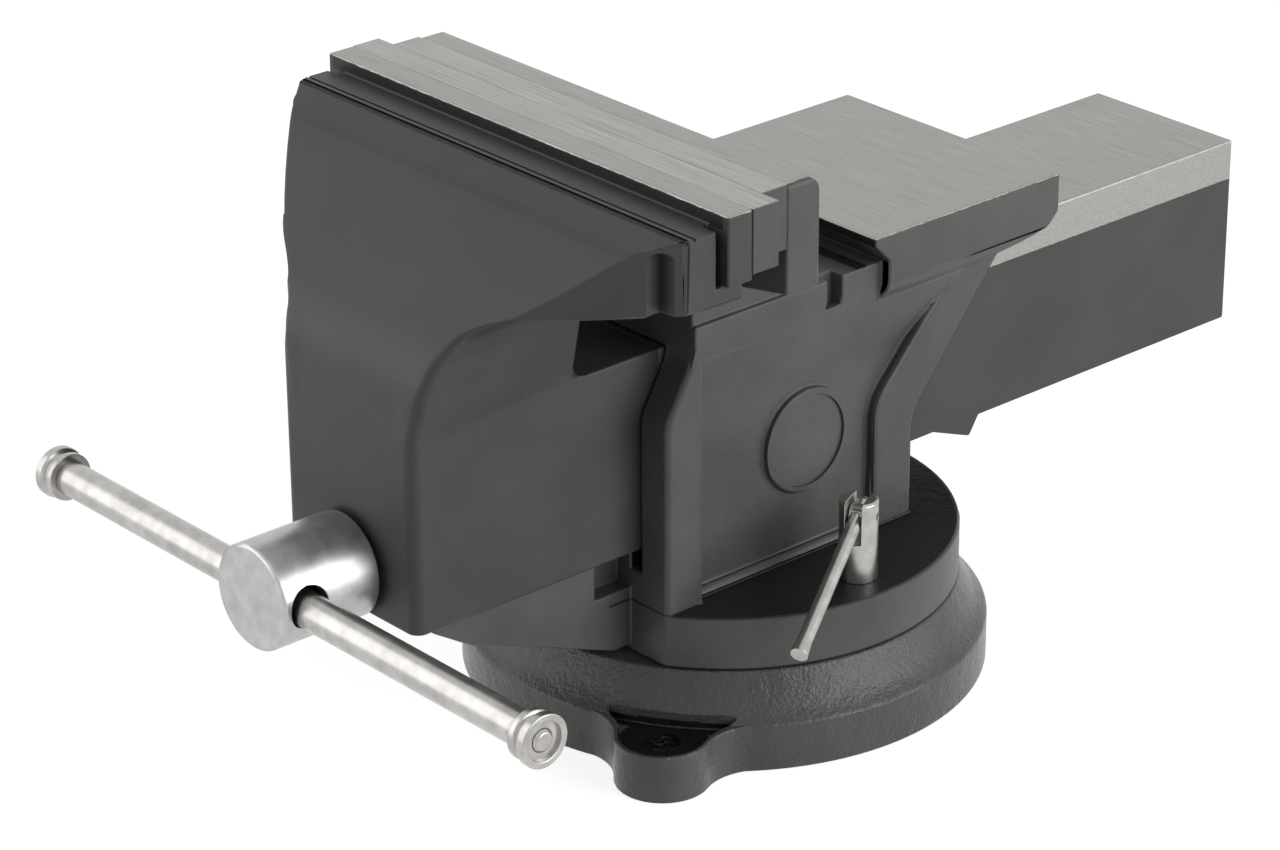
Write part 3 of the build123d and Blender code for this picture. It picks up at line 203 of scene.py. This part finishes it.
def room_beside(mesh, edge_count, corners):
    """How wide each face is beside each of its edges, one value per corner.

    A corner's value is the least distance from its edge's middle to another corner of the face,
    where the way there along the outline is over detour times as long; at the other corners the
    outline only runs on. A face with no such corner counts as 1 m wide.
    """
    detour = 1.6
    at = values(mesh.vertices, "co", width=3)[values(mesh.loops, "vertex_index", int)]
    wide = np.ones(edge_count)
    first = 0
    for count in corners:
        here = at[first:first + count]
        step = np.roll(here, -1, axis=0) - here
        run = np.linalg.norm(step, axis=1)
        start = np.cumsum(run) - run
        direct = np.linalg.norm((here + step / 2)[:, None] - here[None], axis=2)
        outline = np.abs((start + run / 2)[:, None] - start[None])
        outline = np.minimum(outline, run.sum() - outline)
        beside = np.where(outline > detour * direct, direct, 1)
        wide[first:first + count] = beside.min(axis=1)
        first += count
    return wide


def into_scene(name, data):
    """A new object of the scene, at the origin until it is given a place."""
    thing = bpy.data.objects.new(name, data)
    bpy.context.scene.collection.objects.link(thing)
    return thing


def rounded_copy(node, name, body, material, edge_mm, cut_off=None):
    """A merged copy of a CAD node with its edges rounded off, as casting and deburring leave them.

    An edge is rounded where its two faces are folded by more than the fold angle and are wider
    beside it than the room that the round needs. It stays sharp if an edge that stays sharp meets
    it and is shorter than the stub length, and so on along the line of edges. The part of the
    node that is further back than cut_off is left out, and the cut is closed flat.
    """
    fold, needed, stub = radians(28), 2.5 * edge_mm * MM, 1.3 * edge_mm * MM
    mesh = nodes[node].data.copy()
    mesh.name = name
    built = bmesh.new()
    built.from_mesh(mesh)
    bmesh.ops.remove_doubles(built, verts=built.verts, dist=0.002 * MM)
    bmesh.ops.dissolve_limit(built, angle_limit=radians(0.5), verts=built.verts, edges=built.edges)
    if cut_off is not None:
        whole = [*built.verts, *built.edges, *built.faces]
        cut = {"plane_co": (0, cut_off, 0), "plane_no": (0, 1, 0)}
        bmesh.ops.bisect_plane(built, geom=whole, clear_outer=True, **cut)
        bmesh.ops.holes_fill(built, edges=[edge for edge in built.edges if edge.is_boundary])
    built.to_mesh(mesh)
    built.free()
    for layer in ("custom_normal", "sharp_edge", "sharp_face"):
        if layer in mesh.attributes:
            mesh.attributes.remove(mesh.attributes[layer])

    # The two corners, and so the two faces, on either side of each edge
    corners = values(mesh.polygons, "loop_total", int)
    edge_of = values(mesh.loops, "edge_index", int)
    face_of = np.repeat(np.arange(len(mesh.polygons)), corners)
    order = np.argsort(edge_of, kind="stable")
    paired = np.bincount(edge_of, minlength=len(mesh.edges)) == 2
    order = order[paired[edge_of[order]]].reshape(-1, 2)

    facing = values(mesh.polygons, "normal", width=3)[face_of[order]]
    turn = np.zeros(len(mesh.edges))
    turn[paired] = np.arccos(np.clip(np.prod(facing, axis=1).sum(axis=1), -1, 1))
    room = np.zeros(len(mesh.edges))
    room[paired] = room_beside(mesh, len(edge_of), corners)[order].min(axis=1)
    ends = values(mesh.edges, "vertices", int, width=2)
    reach = np.diff(values(mesh.vertices, "co", width=3)[ends], axis=1)[:, 0]
    short = np.linalg.norm(reach, axis=1) < stub

    folded = turn > fold
    eased = folded & (room > needed)
    before = -1
    while eased.sum() != before:
        before = eased.sum()
        tight = np.zeros(len(mesh.vertices), bool)
        tight[ends[short & ~eased].ravel()] = True
        eased &= ~tight[ends].any(axis=1)
    weights = mesh.attributes.new("bevel_weight_edge", "FLOAT", "EDGE")
    weights.data.foreach_set("value", eased.astype(float))
    creases = mesh.attributes.new("sharp_edge", "BOOLEAN", "EDGE")
    creases.data.foreach_set("value", folded & ~eased)
    mesh.polygons.foreach_set("use_smooth", np.ones(len(mesh.polygons), bool))
    mesh.materials.clear()
    mesh.materials.append(material)

    piece = into_scene(name, mesh)
    bevel = piece.modifiers.new("edges", "BEVEL")
    bevel.width = edge_mm * MM
    bevel.segments = 2
    bevel.limit_method = "WEIGHT"
    bevel.use_clamp_overlap = False
    bevel.harden_normals = True
    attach(piece, body)
    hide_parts(node)


AXIS = (0, 0)
BOLT_RIGHT, BOLT_LEFT = (58.5, -81.1), (-58.5, 81.1)
# Painted shade: near-black rings on the bolt pockets, bolt holes and the pocket walls under the
# shoulder.
base_painted_shade_rings = (
    (BOLT_RIGHT, 0, 15.5, 14.0, 17.4),  # pocket round each bolt
    (BOLT_LEFT, 0, 15.5, 14.0, 17.4),
    (BOLT_RIGHT, 0, 6.6, 0, 17.4),  # bolt holes
    (BOLT_LEFT, 0, 6.6, 0, 17.4),
    (AXIS, 88.0, 92.6, 14.0, 16.9),  # pocket floors where they meet the ring
    (AXIS, 88.0, 89.3, 14.0, 20.0),  # pocket walls under the shoulder
)
base_paint = enamelled_iron(
    "enamelled_iron_base", "#484847", "#575756", 3.2, sheen=0.22, rings=base_painted_shade_rings,
)
rounded_copy("swivel_base", "base_casting", "base", base_paint, 0.8)


# Body. One grey iron casting: the disc that turns on the base, the box that guides the slide,
# the fixed jaw, the ribs and the anvil. Anvil and jaw top are milled bare, the rest is enamelled.
# The channel, the throat under the anvil, the top of the disc and its joint with the base are
# painted near-black: painted shade.
body_low, body_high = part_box("body_casting")
ANVIL_HEIGHT = 166.0
JAW_HEIGHT = body_high.z / MM
SKIM = 0.45
body_bare = (
    ((-56, 0, ANVIL_HEIGHT - SKIM), (56, 120, ANVIL_HEIGHT + SKIM)),
    ((body_low.x / MM, -60, JAW_HEIGHT - SKIM), (body_high.x / MM, -40, JAW_HEIGHT + SKIM)),
)
# Painted shade: near-black boxes on the slide channel and on the throat under the anvil.
body_painted_shade_boxes = (
    ((-34.5, -67.6, 64.2), (34.5, 120, 144.1)),  # channel for the slide
    ((-60, 15.5, 154.8), (60, 20.5, 165.2)),  # throat in front of the anvil
)
# Painted shade: near-black rings on the top of the disc, under the body, and along its joint with
# the base.
body_painted_shade_rings = (
    (AXIS, 0, 83.0, 52.0, 53.0),  # top of the disc
    (AXIS, 81.0, 83.0, 32.5, 34.1),  # joint between disc and base
)
body_paint = enamelled_iron(
    "enamelled_iron_body", "#4c4c4b", "#5c5c5a", 1.1,
    painted_shade_boxes=body_painted_shade_boxes, rings=body_painted_shade_rings, bare=body_bare,
)
rounded_copy(
    "body_casting", "body_with_fixed_jaw", "vise_body", body_paint, 0.9,
)


# Pivot bolt with its washer and nut. Black hexagon steel fasteners, turned and rolled, that hold
# the body down on the hub of the base; they are out of sight in use.
def oiled_steel(name):
    """Heat-treated fastener steel with a thin oil film: dark, a little uneven, low gloss."""
    material, tree = new_material(name)
    place = add(tree, "TexCoord").outputs["Object"]
    patch = noise(tree, place, 2.5, 3.0)
    gloss = add(tree, "MapRange", {"Value": patch, "To Min": 0.32, "To Max": 0.5})
    colour = blend_colours(tree, patch, 0.3, "#4a4a4c", 0.7, "#6a6a6b")
    rough = gloss.outputs["Result"]
    finish_surface(tree, {"Base Color": colour, "Metallic": 1.0, "Roughness": rough})
    return material


fastener_steel = oiled_steel("oiled_fastener_steel")
for node in ("pivot_bolt", "pivot_washer", "pivot_nut"):
    rounded_copy(node, node + "_steel", "vise_body", fastener_steel, 0.4)


# Clamp studs. Square-headed steel studs, forged and oiled like the pivot bolt. They hang by their
# heads in the T-slot of the base and come up through the disc to the lock nuts.
rounded_copy(
    "clamp_studs", "clamp_studs_steel", "vise_body", fastener_steel, 0.4,
)


# Lock nuts, their pins and levers. Tall turned nuts, bright zinc plated, cut with a slot in
# which a plated steel rod with a flared end tilts on a cross pin.
def bright_plate(name, tint_low, tint_high, rough):
    """Bright plate over turned steel: 0.5 mm turning marks, and a tone that drifts over 6 mm."""
    material, tree = new_material(name)
    place = add(tree, "TexCoord").outputs["Object"]
    drift = noise(tree, place, 6, 3.0)
    marks = noise(tree, place, 0.5, 2.0)
    gloss = add(tree, "MapRange", {"Value": drift, "To Min": rough, "To Max": rough + 0.1})
    relief = add(tree, "Bump", {"Height": marks, "Strength": 0.12, "Distance": 0.03 * MM})
    colour = blend_colours(tree, drift, 0.3, tint_low, 0.7, tint_high)
    finish_surface(tree, {
        "Base Color": colour, "Metallic": 1.0, "Roughness": gloss.outputs["Result"],
        "Normal": relief.outputs["Normal"],
    })
    return material


zinc_plate = bright_plate("bright_zinc_plate", "#a09e9a", "#bab8b4", 0.24)
for side in ("right", "left"):
    nut, pin, lever = f"lock_nut_{side}", f"lever_pin_{side}", f"lock_lever_{side}"
    rounded_copy(nut, nut + "_turned", nut, zinc_plate, 0.25)
    rounded_copy(pin, pin + "_turned", nut, fastener_steel, 0.2)
    rounded_copy(lever, lever + "_rod", lever, zinc_plate, 0.25)


# Spindle nut and its two bolts. A bare iron block with a round back, cast and bored, that stands
# on the channel floor and takes the screw's thread; it is seen only from behind.
def bare_iron(name):
    """As-cast grey iron with its skin on: dull, grainy at 1 mm, a trace of rust in the tone."""
    material, tree = new_material(name)
    place = add(tree, "TexCoord").outputs["Object"]
    grain = noise(tree, place, 1, 4.0)
    relief = add(tree, "Bump", {"Height": grain, "Strength": 0.4, "Distance": 0.1 * MM})
    colour = blend_colours(tree, grain, 0.35, "#3c3a38", 0.7, "#5a5754")
    finish_surface(tree, {
        "Base Color": colour, "Metallic": 0.6, "Roughness": 0.6, "Normal": relief.outputs["Normal"],
    })
    return material


raw_iron = bare_iron("bare_cast_iron")
rounded_copy("spindle_nut", "spindle_nut_block", "vise_body", raw_iron, 0.8)
rounded_copy(
    "spindle_nut_bolts", "spindle_nut_bolts_steel", "vise_body",
    fastener_steel, 0.3,
)


# Moving jaw. A grey iron casting of slide, neck and head in one. The slide is milled on top and
# along the upper band of its sides, and the strip that backs the jaw plate is milled on top. The
# front of the strip, the back of the neck and the underside of the head are painted near-black:
# painted shade.
jaw_low, jaw_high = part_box("moving_jaw_casting")
STRIP_TOP = jaw_high.z / MM
STRIP_END = jaw_high.x / MM + 1
SLIDE_END = jaw_high.y / MM + 1
SLIDE_TOP = 143.5
SLIDE_HALF = 33.6
BAND_DEPTH = 15.0
RUN_OUT = -60.0
band_low, band_high = SLIDE_TOP - BAND_DEPTH, SLIDE_TOP + SKIM
jaw_bare = (
    ((-40, RUN_OUT, SLIDE_TOP - SKIM), (40, SLIDE_END, band_high)),
    ((SLIDE_HALF - SKIM, RUN_OUT, band_low), (SLIDE_HALF + SKIM, SLIDE_END, band_high)),
    ((-SLIDE_HALF - SKIM, RUN_OUT, band_low), (SKIM - SLIDE_HALF, SLIDE_END, band_high)),
    ((-STRIP_END, -90.2, STRIP_TOP - SKIM), (STRIP_END, -70, STRIP_TOP + SKIM)),
)
# Painted shade: near-black boxes on the front of the strip, the back of the neck and the underside
# of the head.
jaw_painted_shade_boxes = (
    ((-97.5, -90.5, 213.1), (97.5, -89.5, 217.6)),  # front of the strip
    ((-101, -97.5, 144), (101, -78.5, 188.5)),  # back of the neck, underside of the head
)
jaw_paint = enamelled_iron(
    "enamelled_iron_moving_jaw", "#3b3b3a", "#464645", 0.35, painted_shade_boxes=jaw_painted_shade_boxes, bare=jaw_bare,
)
rounded_copy(
    "moving_jaw_casting", "moving_jaw_with_slide", "moving_jaw", jaw_paint, 0.9,
)


# Flares under the wings of the moving jaw. They are part of the same casting and paint: on each
# side the root of the wing runs down the neck and dies out in its front and its flank.
def front_of_jaw(height):
    """How far forward the jaw's front lies at a height: upright to the foot of the slope, then
    sloping back to the brow, with a 30 mm round where the two meet."""
    foot, brow = np.array((-164.2, 165.8)) * MM, np.array((-117.4, 208.5)) * MM
    round_radius = 30 * MM
    lean = np.arctan2(brow[0] - foot[0], brow[1] - foot[1])
    reach = round_radius * np.tan(lean / 2)
    above_start = height - foot[1] + reach
    upright = foot[0] + np.zeros_like(height)
    curve = foot[0] + round_radius - np.sqrt(np.maximum(round_radius ** 2 - above_start ** 2, 0))
    slope = foot[0] + (height - foot[1]) * np.tan(lean)
    bent = np.where(height < foot[1] + reach * np.cos(lean), curve, slope)
    return np.where(above_start < 0, upright, bent)


def neck_flare(side, levels, half_widths):
    """Grid of the flare that carries one wing's root down the neck, level by level.

    At each height the outline rises out of the jaw's front near the middle, runs round a 4 mm
    corner at the half width read from the table, and sinks back into the flank along half a
    cosine wave. It returns inside the casting, 9 mm behind the front.
    """
    foot, top, levels_drawn = 112, 185.5, 99
    height = np.linspace(foot, top, levels_drawn) * MM
    half = np.interp(height, np.array(levels) * MM, np.array(half_widths) * MM)
    flank_levels = np.array((136, 141.7, 176, 181, top)) * MM
    flank = np.interp(height, flank_levels, np.array((32.4, 33.2, 40.6, 44.0, 50.0)) * MM)
    flank = np.minimum(flank, half - 0.8 * MM)
    sunk, proud = 0.5 * MM, -0.12 * MM
    front = front_of_jaw(height) + np.interp(height, (foot * MM, 142 * MM), (sunk, proud))
    middle, corner, rear, depth = 5 * MM, 4 * MM, -106 * MM, 9 * MM
    turn = np.linspace(0, pi / 2, 9)[:, None]
    sink = np.linspace(0, 1, 15)[1:, None]
    level = np.zeros((1, levels_drawn))
    across = np.concatenate([
        np.linspace(middle + level[0], half - corner, 9)[:-1],
        (half - corner) + corner * np.sin(turn),
        flank + (half - flank) * (1 + np.cos(pi * sink)) / 2,
        flank - np.array((0.5, 4, 4))[:, None] * MM,
        middle + level,
    ])
    along = np.concatenate([
        front + np.linspace(sunk, 0, 9)[:-1, None],
        front + corner - corner * np.cos(turn),
        (front + corner) * (1 - sink) + rear * sink,
        np.concatenate([rear + level, rear + level, front[None] + depth]),
        front[None] + depth,
    ])
    up = np.broadcast_to(height, across.shape)
    outline = np.stack([side * across, along, up], axis=-1)
    return np.concatenate([outline, outline[:1]]).transpose(1, 0, 2)


def closed_tube(name, grid, material):
    """A mesh of rings: quads join each ring to the next, the ends of the rings meet at a seam that
    is merged, and the first and last rings are closed flat."""
    rings, count = grid.shape[:2]
    ring, step = np.meshgrid(np.arange(rings - 1), np.arange(count - 1), indexing="ij")
    near = ring * count + step
    quads = np.stack([near, near + 1, near + count + 1, near + count], axis=-1).reshape(-1, 4)
    mesh = bpy.data.meshes.new(name)
    mesh.from_pydata(grid.reshape(-1, 3), [], quads.tolist())
    mesh.polygons.foreach_set("use_smooth", np.ones(len(mesh.polygons), bool))
    built = bmesh.new()
    built.from_mesh(mesh)
    bmesh.ops.remove_doubles(built, verts=built.verts, dist=0.001 * MM)
    bmesh.ops.dissolve_degenerate(built, edges=built.edges, dist=0.001 * MM)
    bmesh.ops.holes_fill(built, edges=[edge for edge in built.edges if edge.is_boundary])
    bmesh.ops.recalc_face_normals(built, faces=built.faces)
    built.to_mesh(mesh)
    built.free()
    mesh.set_sharp_from_angle(angle=radians(30))
    mesh.materials.append(material)
    return into_scene(name, mesh)


flares = (
    (
        1, "right",
        (136, 142, 151, 157, 162, 168, 172, 175, 177.5, 179, 181, 182.9, 185.5),
        (33.0, 34.3, 37.2, 38.6, 40.0, 41.0, 42.2, 43.2, 44.6, 46.2, 49.6, 53.0, 59.5),
    ),
    (
        -1, "left",
        (136, 142, 151, 160, 167, 170.8, 174, 175.4, 177, 178.5, 179.8, 181.1, 182.6, 184.1, 185.5),
        (31.0, 31.6, 32.4, 33.4, 35.4, 37.9, 41.9, 43.8, 46.5, 49.1, 51.5, 53.9, 56.4, 58.6, 60.3),
    ),
)
for side, label, levels, half_widths in flares:
    flare = closed_tube(f"neck_flare_{label}", neck_flare(side, levels, half_widths), jaw_paint)
    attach(flare, "moving_jaw")


# Jaw plates. Tool steel bars, oil-blackened in hardening and then ground bright on top and on
# their clamping faces, screwed to both jaws.
def ground_steel(name, ground):
    """Hardened tool steel, blackened and satin, with bright grinding lines 0.5 mm apart where it is
    inside the ground boxes."""
    material, tree = new_material(name)
    place = add(tree, "TexCoord").outputs["Object"]
    lines = drawn_lines(tree, place, 40, 0.5)
    bright = blend_colours(tree, lines, 0.3, "#8b8a86", 0.7, "#b4b3ae")
    patch = noise(tree, place, 4, 3.0)
    black = blend_colours(tree, patch, 0.3, "#3e3e3e", 0.7, "#484847")
    metal = inside_any_box(tree, place, ground)
    mixed = add(tree, "Mix", {"Factor": metal, "A": black, "B": bright}, data_type="RGBA")
    relief = add(tree, "Bump", {"Height": lines, "Strength": 0.2, "Distance": 0.03 * MM})
    finish_surface(tree, {
        "Base Color": mixed.outputs["Result"], "Metallic": metal, "Roughness": 0.38,
        "Normal": relief.outputs["Normal"],
    })
    return material


CLAMP_FACE = -68.4
plate_ground = (
    ((-100, -80, 217.9), (100, -57, 218.1)),
    ((-99.5, CLAMP_FACE - 0.1, 196.5), (99.5, CLAMP_FACE + 0.1, 217.5)),
)
plate_steel = ground_steel("ground_tool_steel", plate_ground)
for node, body in (("fixed_jaw_plate", "vise_body"), ("moving_jaw_plate", "moving_jaw")):
    rounded_copy(node, node + "_ground", body, plate_steel, 0.4)


# Plate screws. Countersunk socket screws of oiled alloy steel, cold-headed with a 5 mm hexagon
# socket and sunk half a millimetre below the face of each plate.
def socket_screw(x, z, face, away):
    """Rings of a countersunk socket screw, from its tip to the floor of its socket.

    Each ring has a depth behind the face and a radius. The shank is round. The socket is a
    hexagon: its radius is half the width across the flats over the cosine of the angle from the
    nearest flat.
    """
    angle = np.linspace(0, tau, 49)
    flat = 1 / np.cos((angle + pi / 6) % (pi / 3) - pi / 6)
    circle = np.ones_like(angle)
    tip, shank, rim, socket = 3.4 * circle, 4.0 * circle, 7.2 * circle, 2.5 * flat
    rings = (
        (20.5, tip), (19.9, shank), (4.0, shank), (0.9, 7.1 * circle), (0.5, rim),
        (0.5, 3.1 * circle), (0.8, socket), (3.4, socket),
    )
    depths, radii = zip(*rings)
    depth, radius = np.array(depths) * MM, np.array(radii) * MM
    along = np.broadcast_to((face + away * depth)[:, None], radius.shape)
    return np.stack([x + radius * np.cos(angle), along, z + radius * np.sin(angle)], axis=-1)


SCREW_OFFSET = 55.0
SCREW_HEIGHT = 207.0
for jaw, body, away in (("fixed", "vise_body", 1), ("moving", "moving_jaw", -1)):
    for side, x in (("right", SCREW_OFFSET), ("left", -SCREW_OFFSET)):
        rings = socket_screw(x * MM, SCREW_HEIGHT * MM, CLAMP_FACE * MM, away)
        screw = closed_tube(f"{jaw}_plate_screw_{side}", rings, fastener_steel)
        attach(screw, body)
        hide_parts(f"{jaw}_plate_screws")


# Spindle. A turned steel bar: a plated round head, bored across for the handle, and behind it the
# oiled screw. A collar pinned on behind the front wall, and a washer, hold it in the jaw.
def screw_thread(start, end, radius, depth, lead, axis_height):
    """Grid of a right-handed trapezoidal thread, cut into a bar from start to end.

    Each column is a line along the bar, moved on by one lead in a full turn, so the ends of a
    turn meet the next one. Across a pitch the radius stays at the crest for 40 percent, falls over
    10, stays at the root for 40 and rises over 10. The cut begins 14 mm from the start and fades
    out over 6 mm at both ends, and the tip is turned down to a 2 mm chamfer.
    """
    plain, fade_out, chamfer = 14 * MM, 6 * MM, 2 * MM
    turn = np.linspace(0, tau, 61)[None]
    pitches = np.arange(np.floor(start / lead) - 2, np.ceil(end / lead) + 2)
    place = (pitches[:, None] + np.array((0, 0.4, 0.5, 0.9))).ravel()[:, None] * lead
    cut = np.tile(np.array((0, 0, 1, 1)), len(pitches))[:, None]
    shoulder = end - chamfer
    along = np.clip(place + lead * turn / tau, start, shoulder)
    stops = (start + plain, start + plain + fade_out, shoulder - fade_out, shoulder)
    r = radius - depth * cut * np.interp(along, stops, (0, 1, 1, 0))
    along = np.concatenate([along, end + 0 * along[:1]])
    r = np.concatenate([r, radius - chamfer + 0 * r[:1]])
    return np.stack([r * np.sin(turn), along, axis_height + r * np.cos(turn)], axis=-1)


INSIDE_COLLAR = -139.0 * MM
head_plate = bright_plate("satin_nickel_head", "#a5a5a5", "#bababa", 0.3)
rounded_copy(
    "spindle", "spindle_head_turned", "spindle", head_plate, 0.5,
    cut_off=INSIDE_COLLAR,
)
SCREW_START, SCREW_END, SCREW_RADIUS, THREAD_DEPTH, LEAD, SPINDLE_HEIGHT = (
    size * MM for size in (-139.5, 200, 9.5, 2, 6, 88.4)
)
thread = screw_thread(SCREW_START, SCREW_END, SCREW_RADIUS, THREAD_DEPTH, LEAD, SPINDLE_HEIGHT)
screw = closed_tube("spindle_screw_cut", thread, fastener_steel)
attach(screw, "spindle")
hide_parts("spindle")
collar_steel = ground_steel("turned_collar_steel", (((-20, -150, 70), (20, -120, 110)),))
for node, slot, steel, edge_mm in (
    ("thrust_washer", "plated_steel", fastener_steel, 0.3),
    ("retaining_collar", "machined_steel", collar_steel, 0.5),
    ("collar_pin", "machined_steel", collar_steel, 0.3),
):
    rounded_copy(node, node + "_turned", "spindle", steel, edge_mm)


# Handle. A drawn steel bar, zinc plated, that slides in the head of the spindle. A turned knob
# is riveted on each end, plated like the bar.
for node in ("handle_bar", "handle_knob_right", "handle_knob_left"):
    made = "_drawn" if node == "handle_bar" else "_turned"
    rounded_copy(node, node + made, "handle", zinc_plate, 0.4)


# Studio: a pale floor that keeps the vise's shadow, and a white surround that the bright metal
# mirrors. The floor adds light of its own only where the camera or a mirror looks at it.
def seen_or_mirrored(tree):
    """1 on the camera's own rays and on those that a mirror or glass sends on, and 0 elsewhere."""
    rays = add(tree, "LightPath").outputs
    seen = rays["Is Camera Ray"]
    for other in ("Is Glossy Ray", "Is Transmission Ray"):
        seen = add(tree, "Math", {0: seen, 1: rays[other]}, operation="MAXIMUM").outputs[0]
    return seen


WHITE = (1.0, 1.0, 1.0, 1.0)
floor_paper, tree = new_material("white_backdrop_paper")
glow = add(tree, "Math", {0: seen_or_mirrored(tree), 1: 0.8}, operation="MULTIPLY")
finish_surface(tree, {
    "Base Color": linear("#cfcfcf"), "Roughness": 0.9, "Emission Color": WHITE,
    "Emission Strength": glow.outputs[0],
})
FLOOR_HALF = 6.0
floor_corners = np.array(((-1, -1, 0), (1, -1, 0), (1, 1, 0), (-1, 1, 0))) * FLOOR_HALF
floor_mesh = bpy.data.meshes.new("floor")
floor_mesh.from_pydata(floor_corners, [], [(0, 1, 2, 3)])
floor_mesh.materials.append(floor_paper)
floor = into_scene("floor", floor_mesh)

world = bpy.data.worlds.new("white_studio")
bpy.context.scene.world = world
world.use_nodes = True
tree = world.node_tree
tree.nodes.clear()
strength = add(tree, "MapRange", {"Value": seen_or_mirrored(tree), "To Min": 0.15, "To Max": 1.0})
surround = add(tree, "Background", {"Color": WHITE, "Strength": strength.outputs["Result"]})
add(tree, "OutputWorld", {"Surface": surround.outputs[0]})


# Lights: two large soft boxes, the key low beside the rear right and the fill in front on the
# left. Both stand low, so that level painted faces stay dark.
def soft_box(name, place, size, watts):
    """A square area lamp at place that faces the middle of the vise."""
    lamp = bpy.data.lights.new(name, "AREA")
    lamp.size = size
    lamp.energy = watts
    box = into_scene(name, lamp)
    box.location = place
    aim = Vector((0, 0, 0.1)) - Vector(place)
    box.rotation_euler = aim.to_track_quat("-Z", "Y").to_euler()


soft_box("key_light", (1.7, 0.7, 0.5), 1.6, 30)
soft_box("fill_light", (-1.0, -1.4, 0.85), 1.8, 15)


# Camera: a long lens 1.4 m away, 25 degrees above the bench and 49 degrees round from the
# handle's end, solved from the photograph's own straight edges.
camera = bpy.data.cameras.new("camera")
camera.lens = 123.51
camera.sensor_width = 36.0
camera.clip_start = 0.1
camera.clip_end = 50.0
viewer = into_scene("camera", camera)
azimuth, elevation, roll = radians(48.7461), radians(24.8543), radians(-0.4103)
right = Vector((cos(azimuth), sin(azimuth), 0))
back = Vector((sin(azimuth) * cos(elevation), -cos(azimuth) * cos(elevation), sin(elevation)))
up = back.cross(right)
across = cos(roll) * right + sin(roll) * up
upright = cos(roll) * up - sin(roll) * right
target = Vector((0, -0.0684, 0.2179)) + 0.0230108 * across - 0.1005921 * upright
place = target + 1.427124 * back
viewer.matrix_world = Matrix((
    (across.x, upright.x, back.x, place.x),
    (across.y, upright.y, back.y, place.y),
    (across.z, upright.z, back.z, place.z),
    (0, 0, 0, 1),
))
bpy.context.scene.camera = viewer
bpy.context.scene.view_settings.view_transform = "Standard"
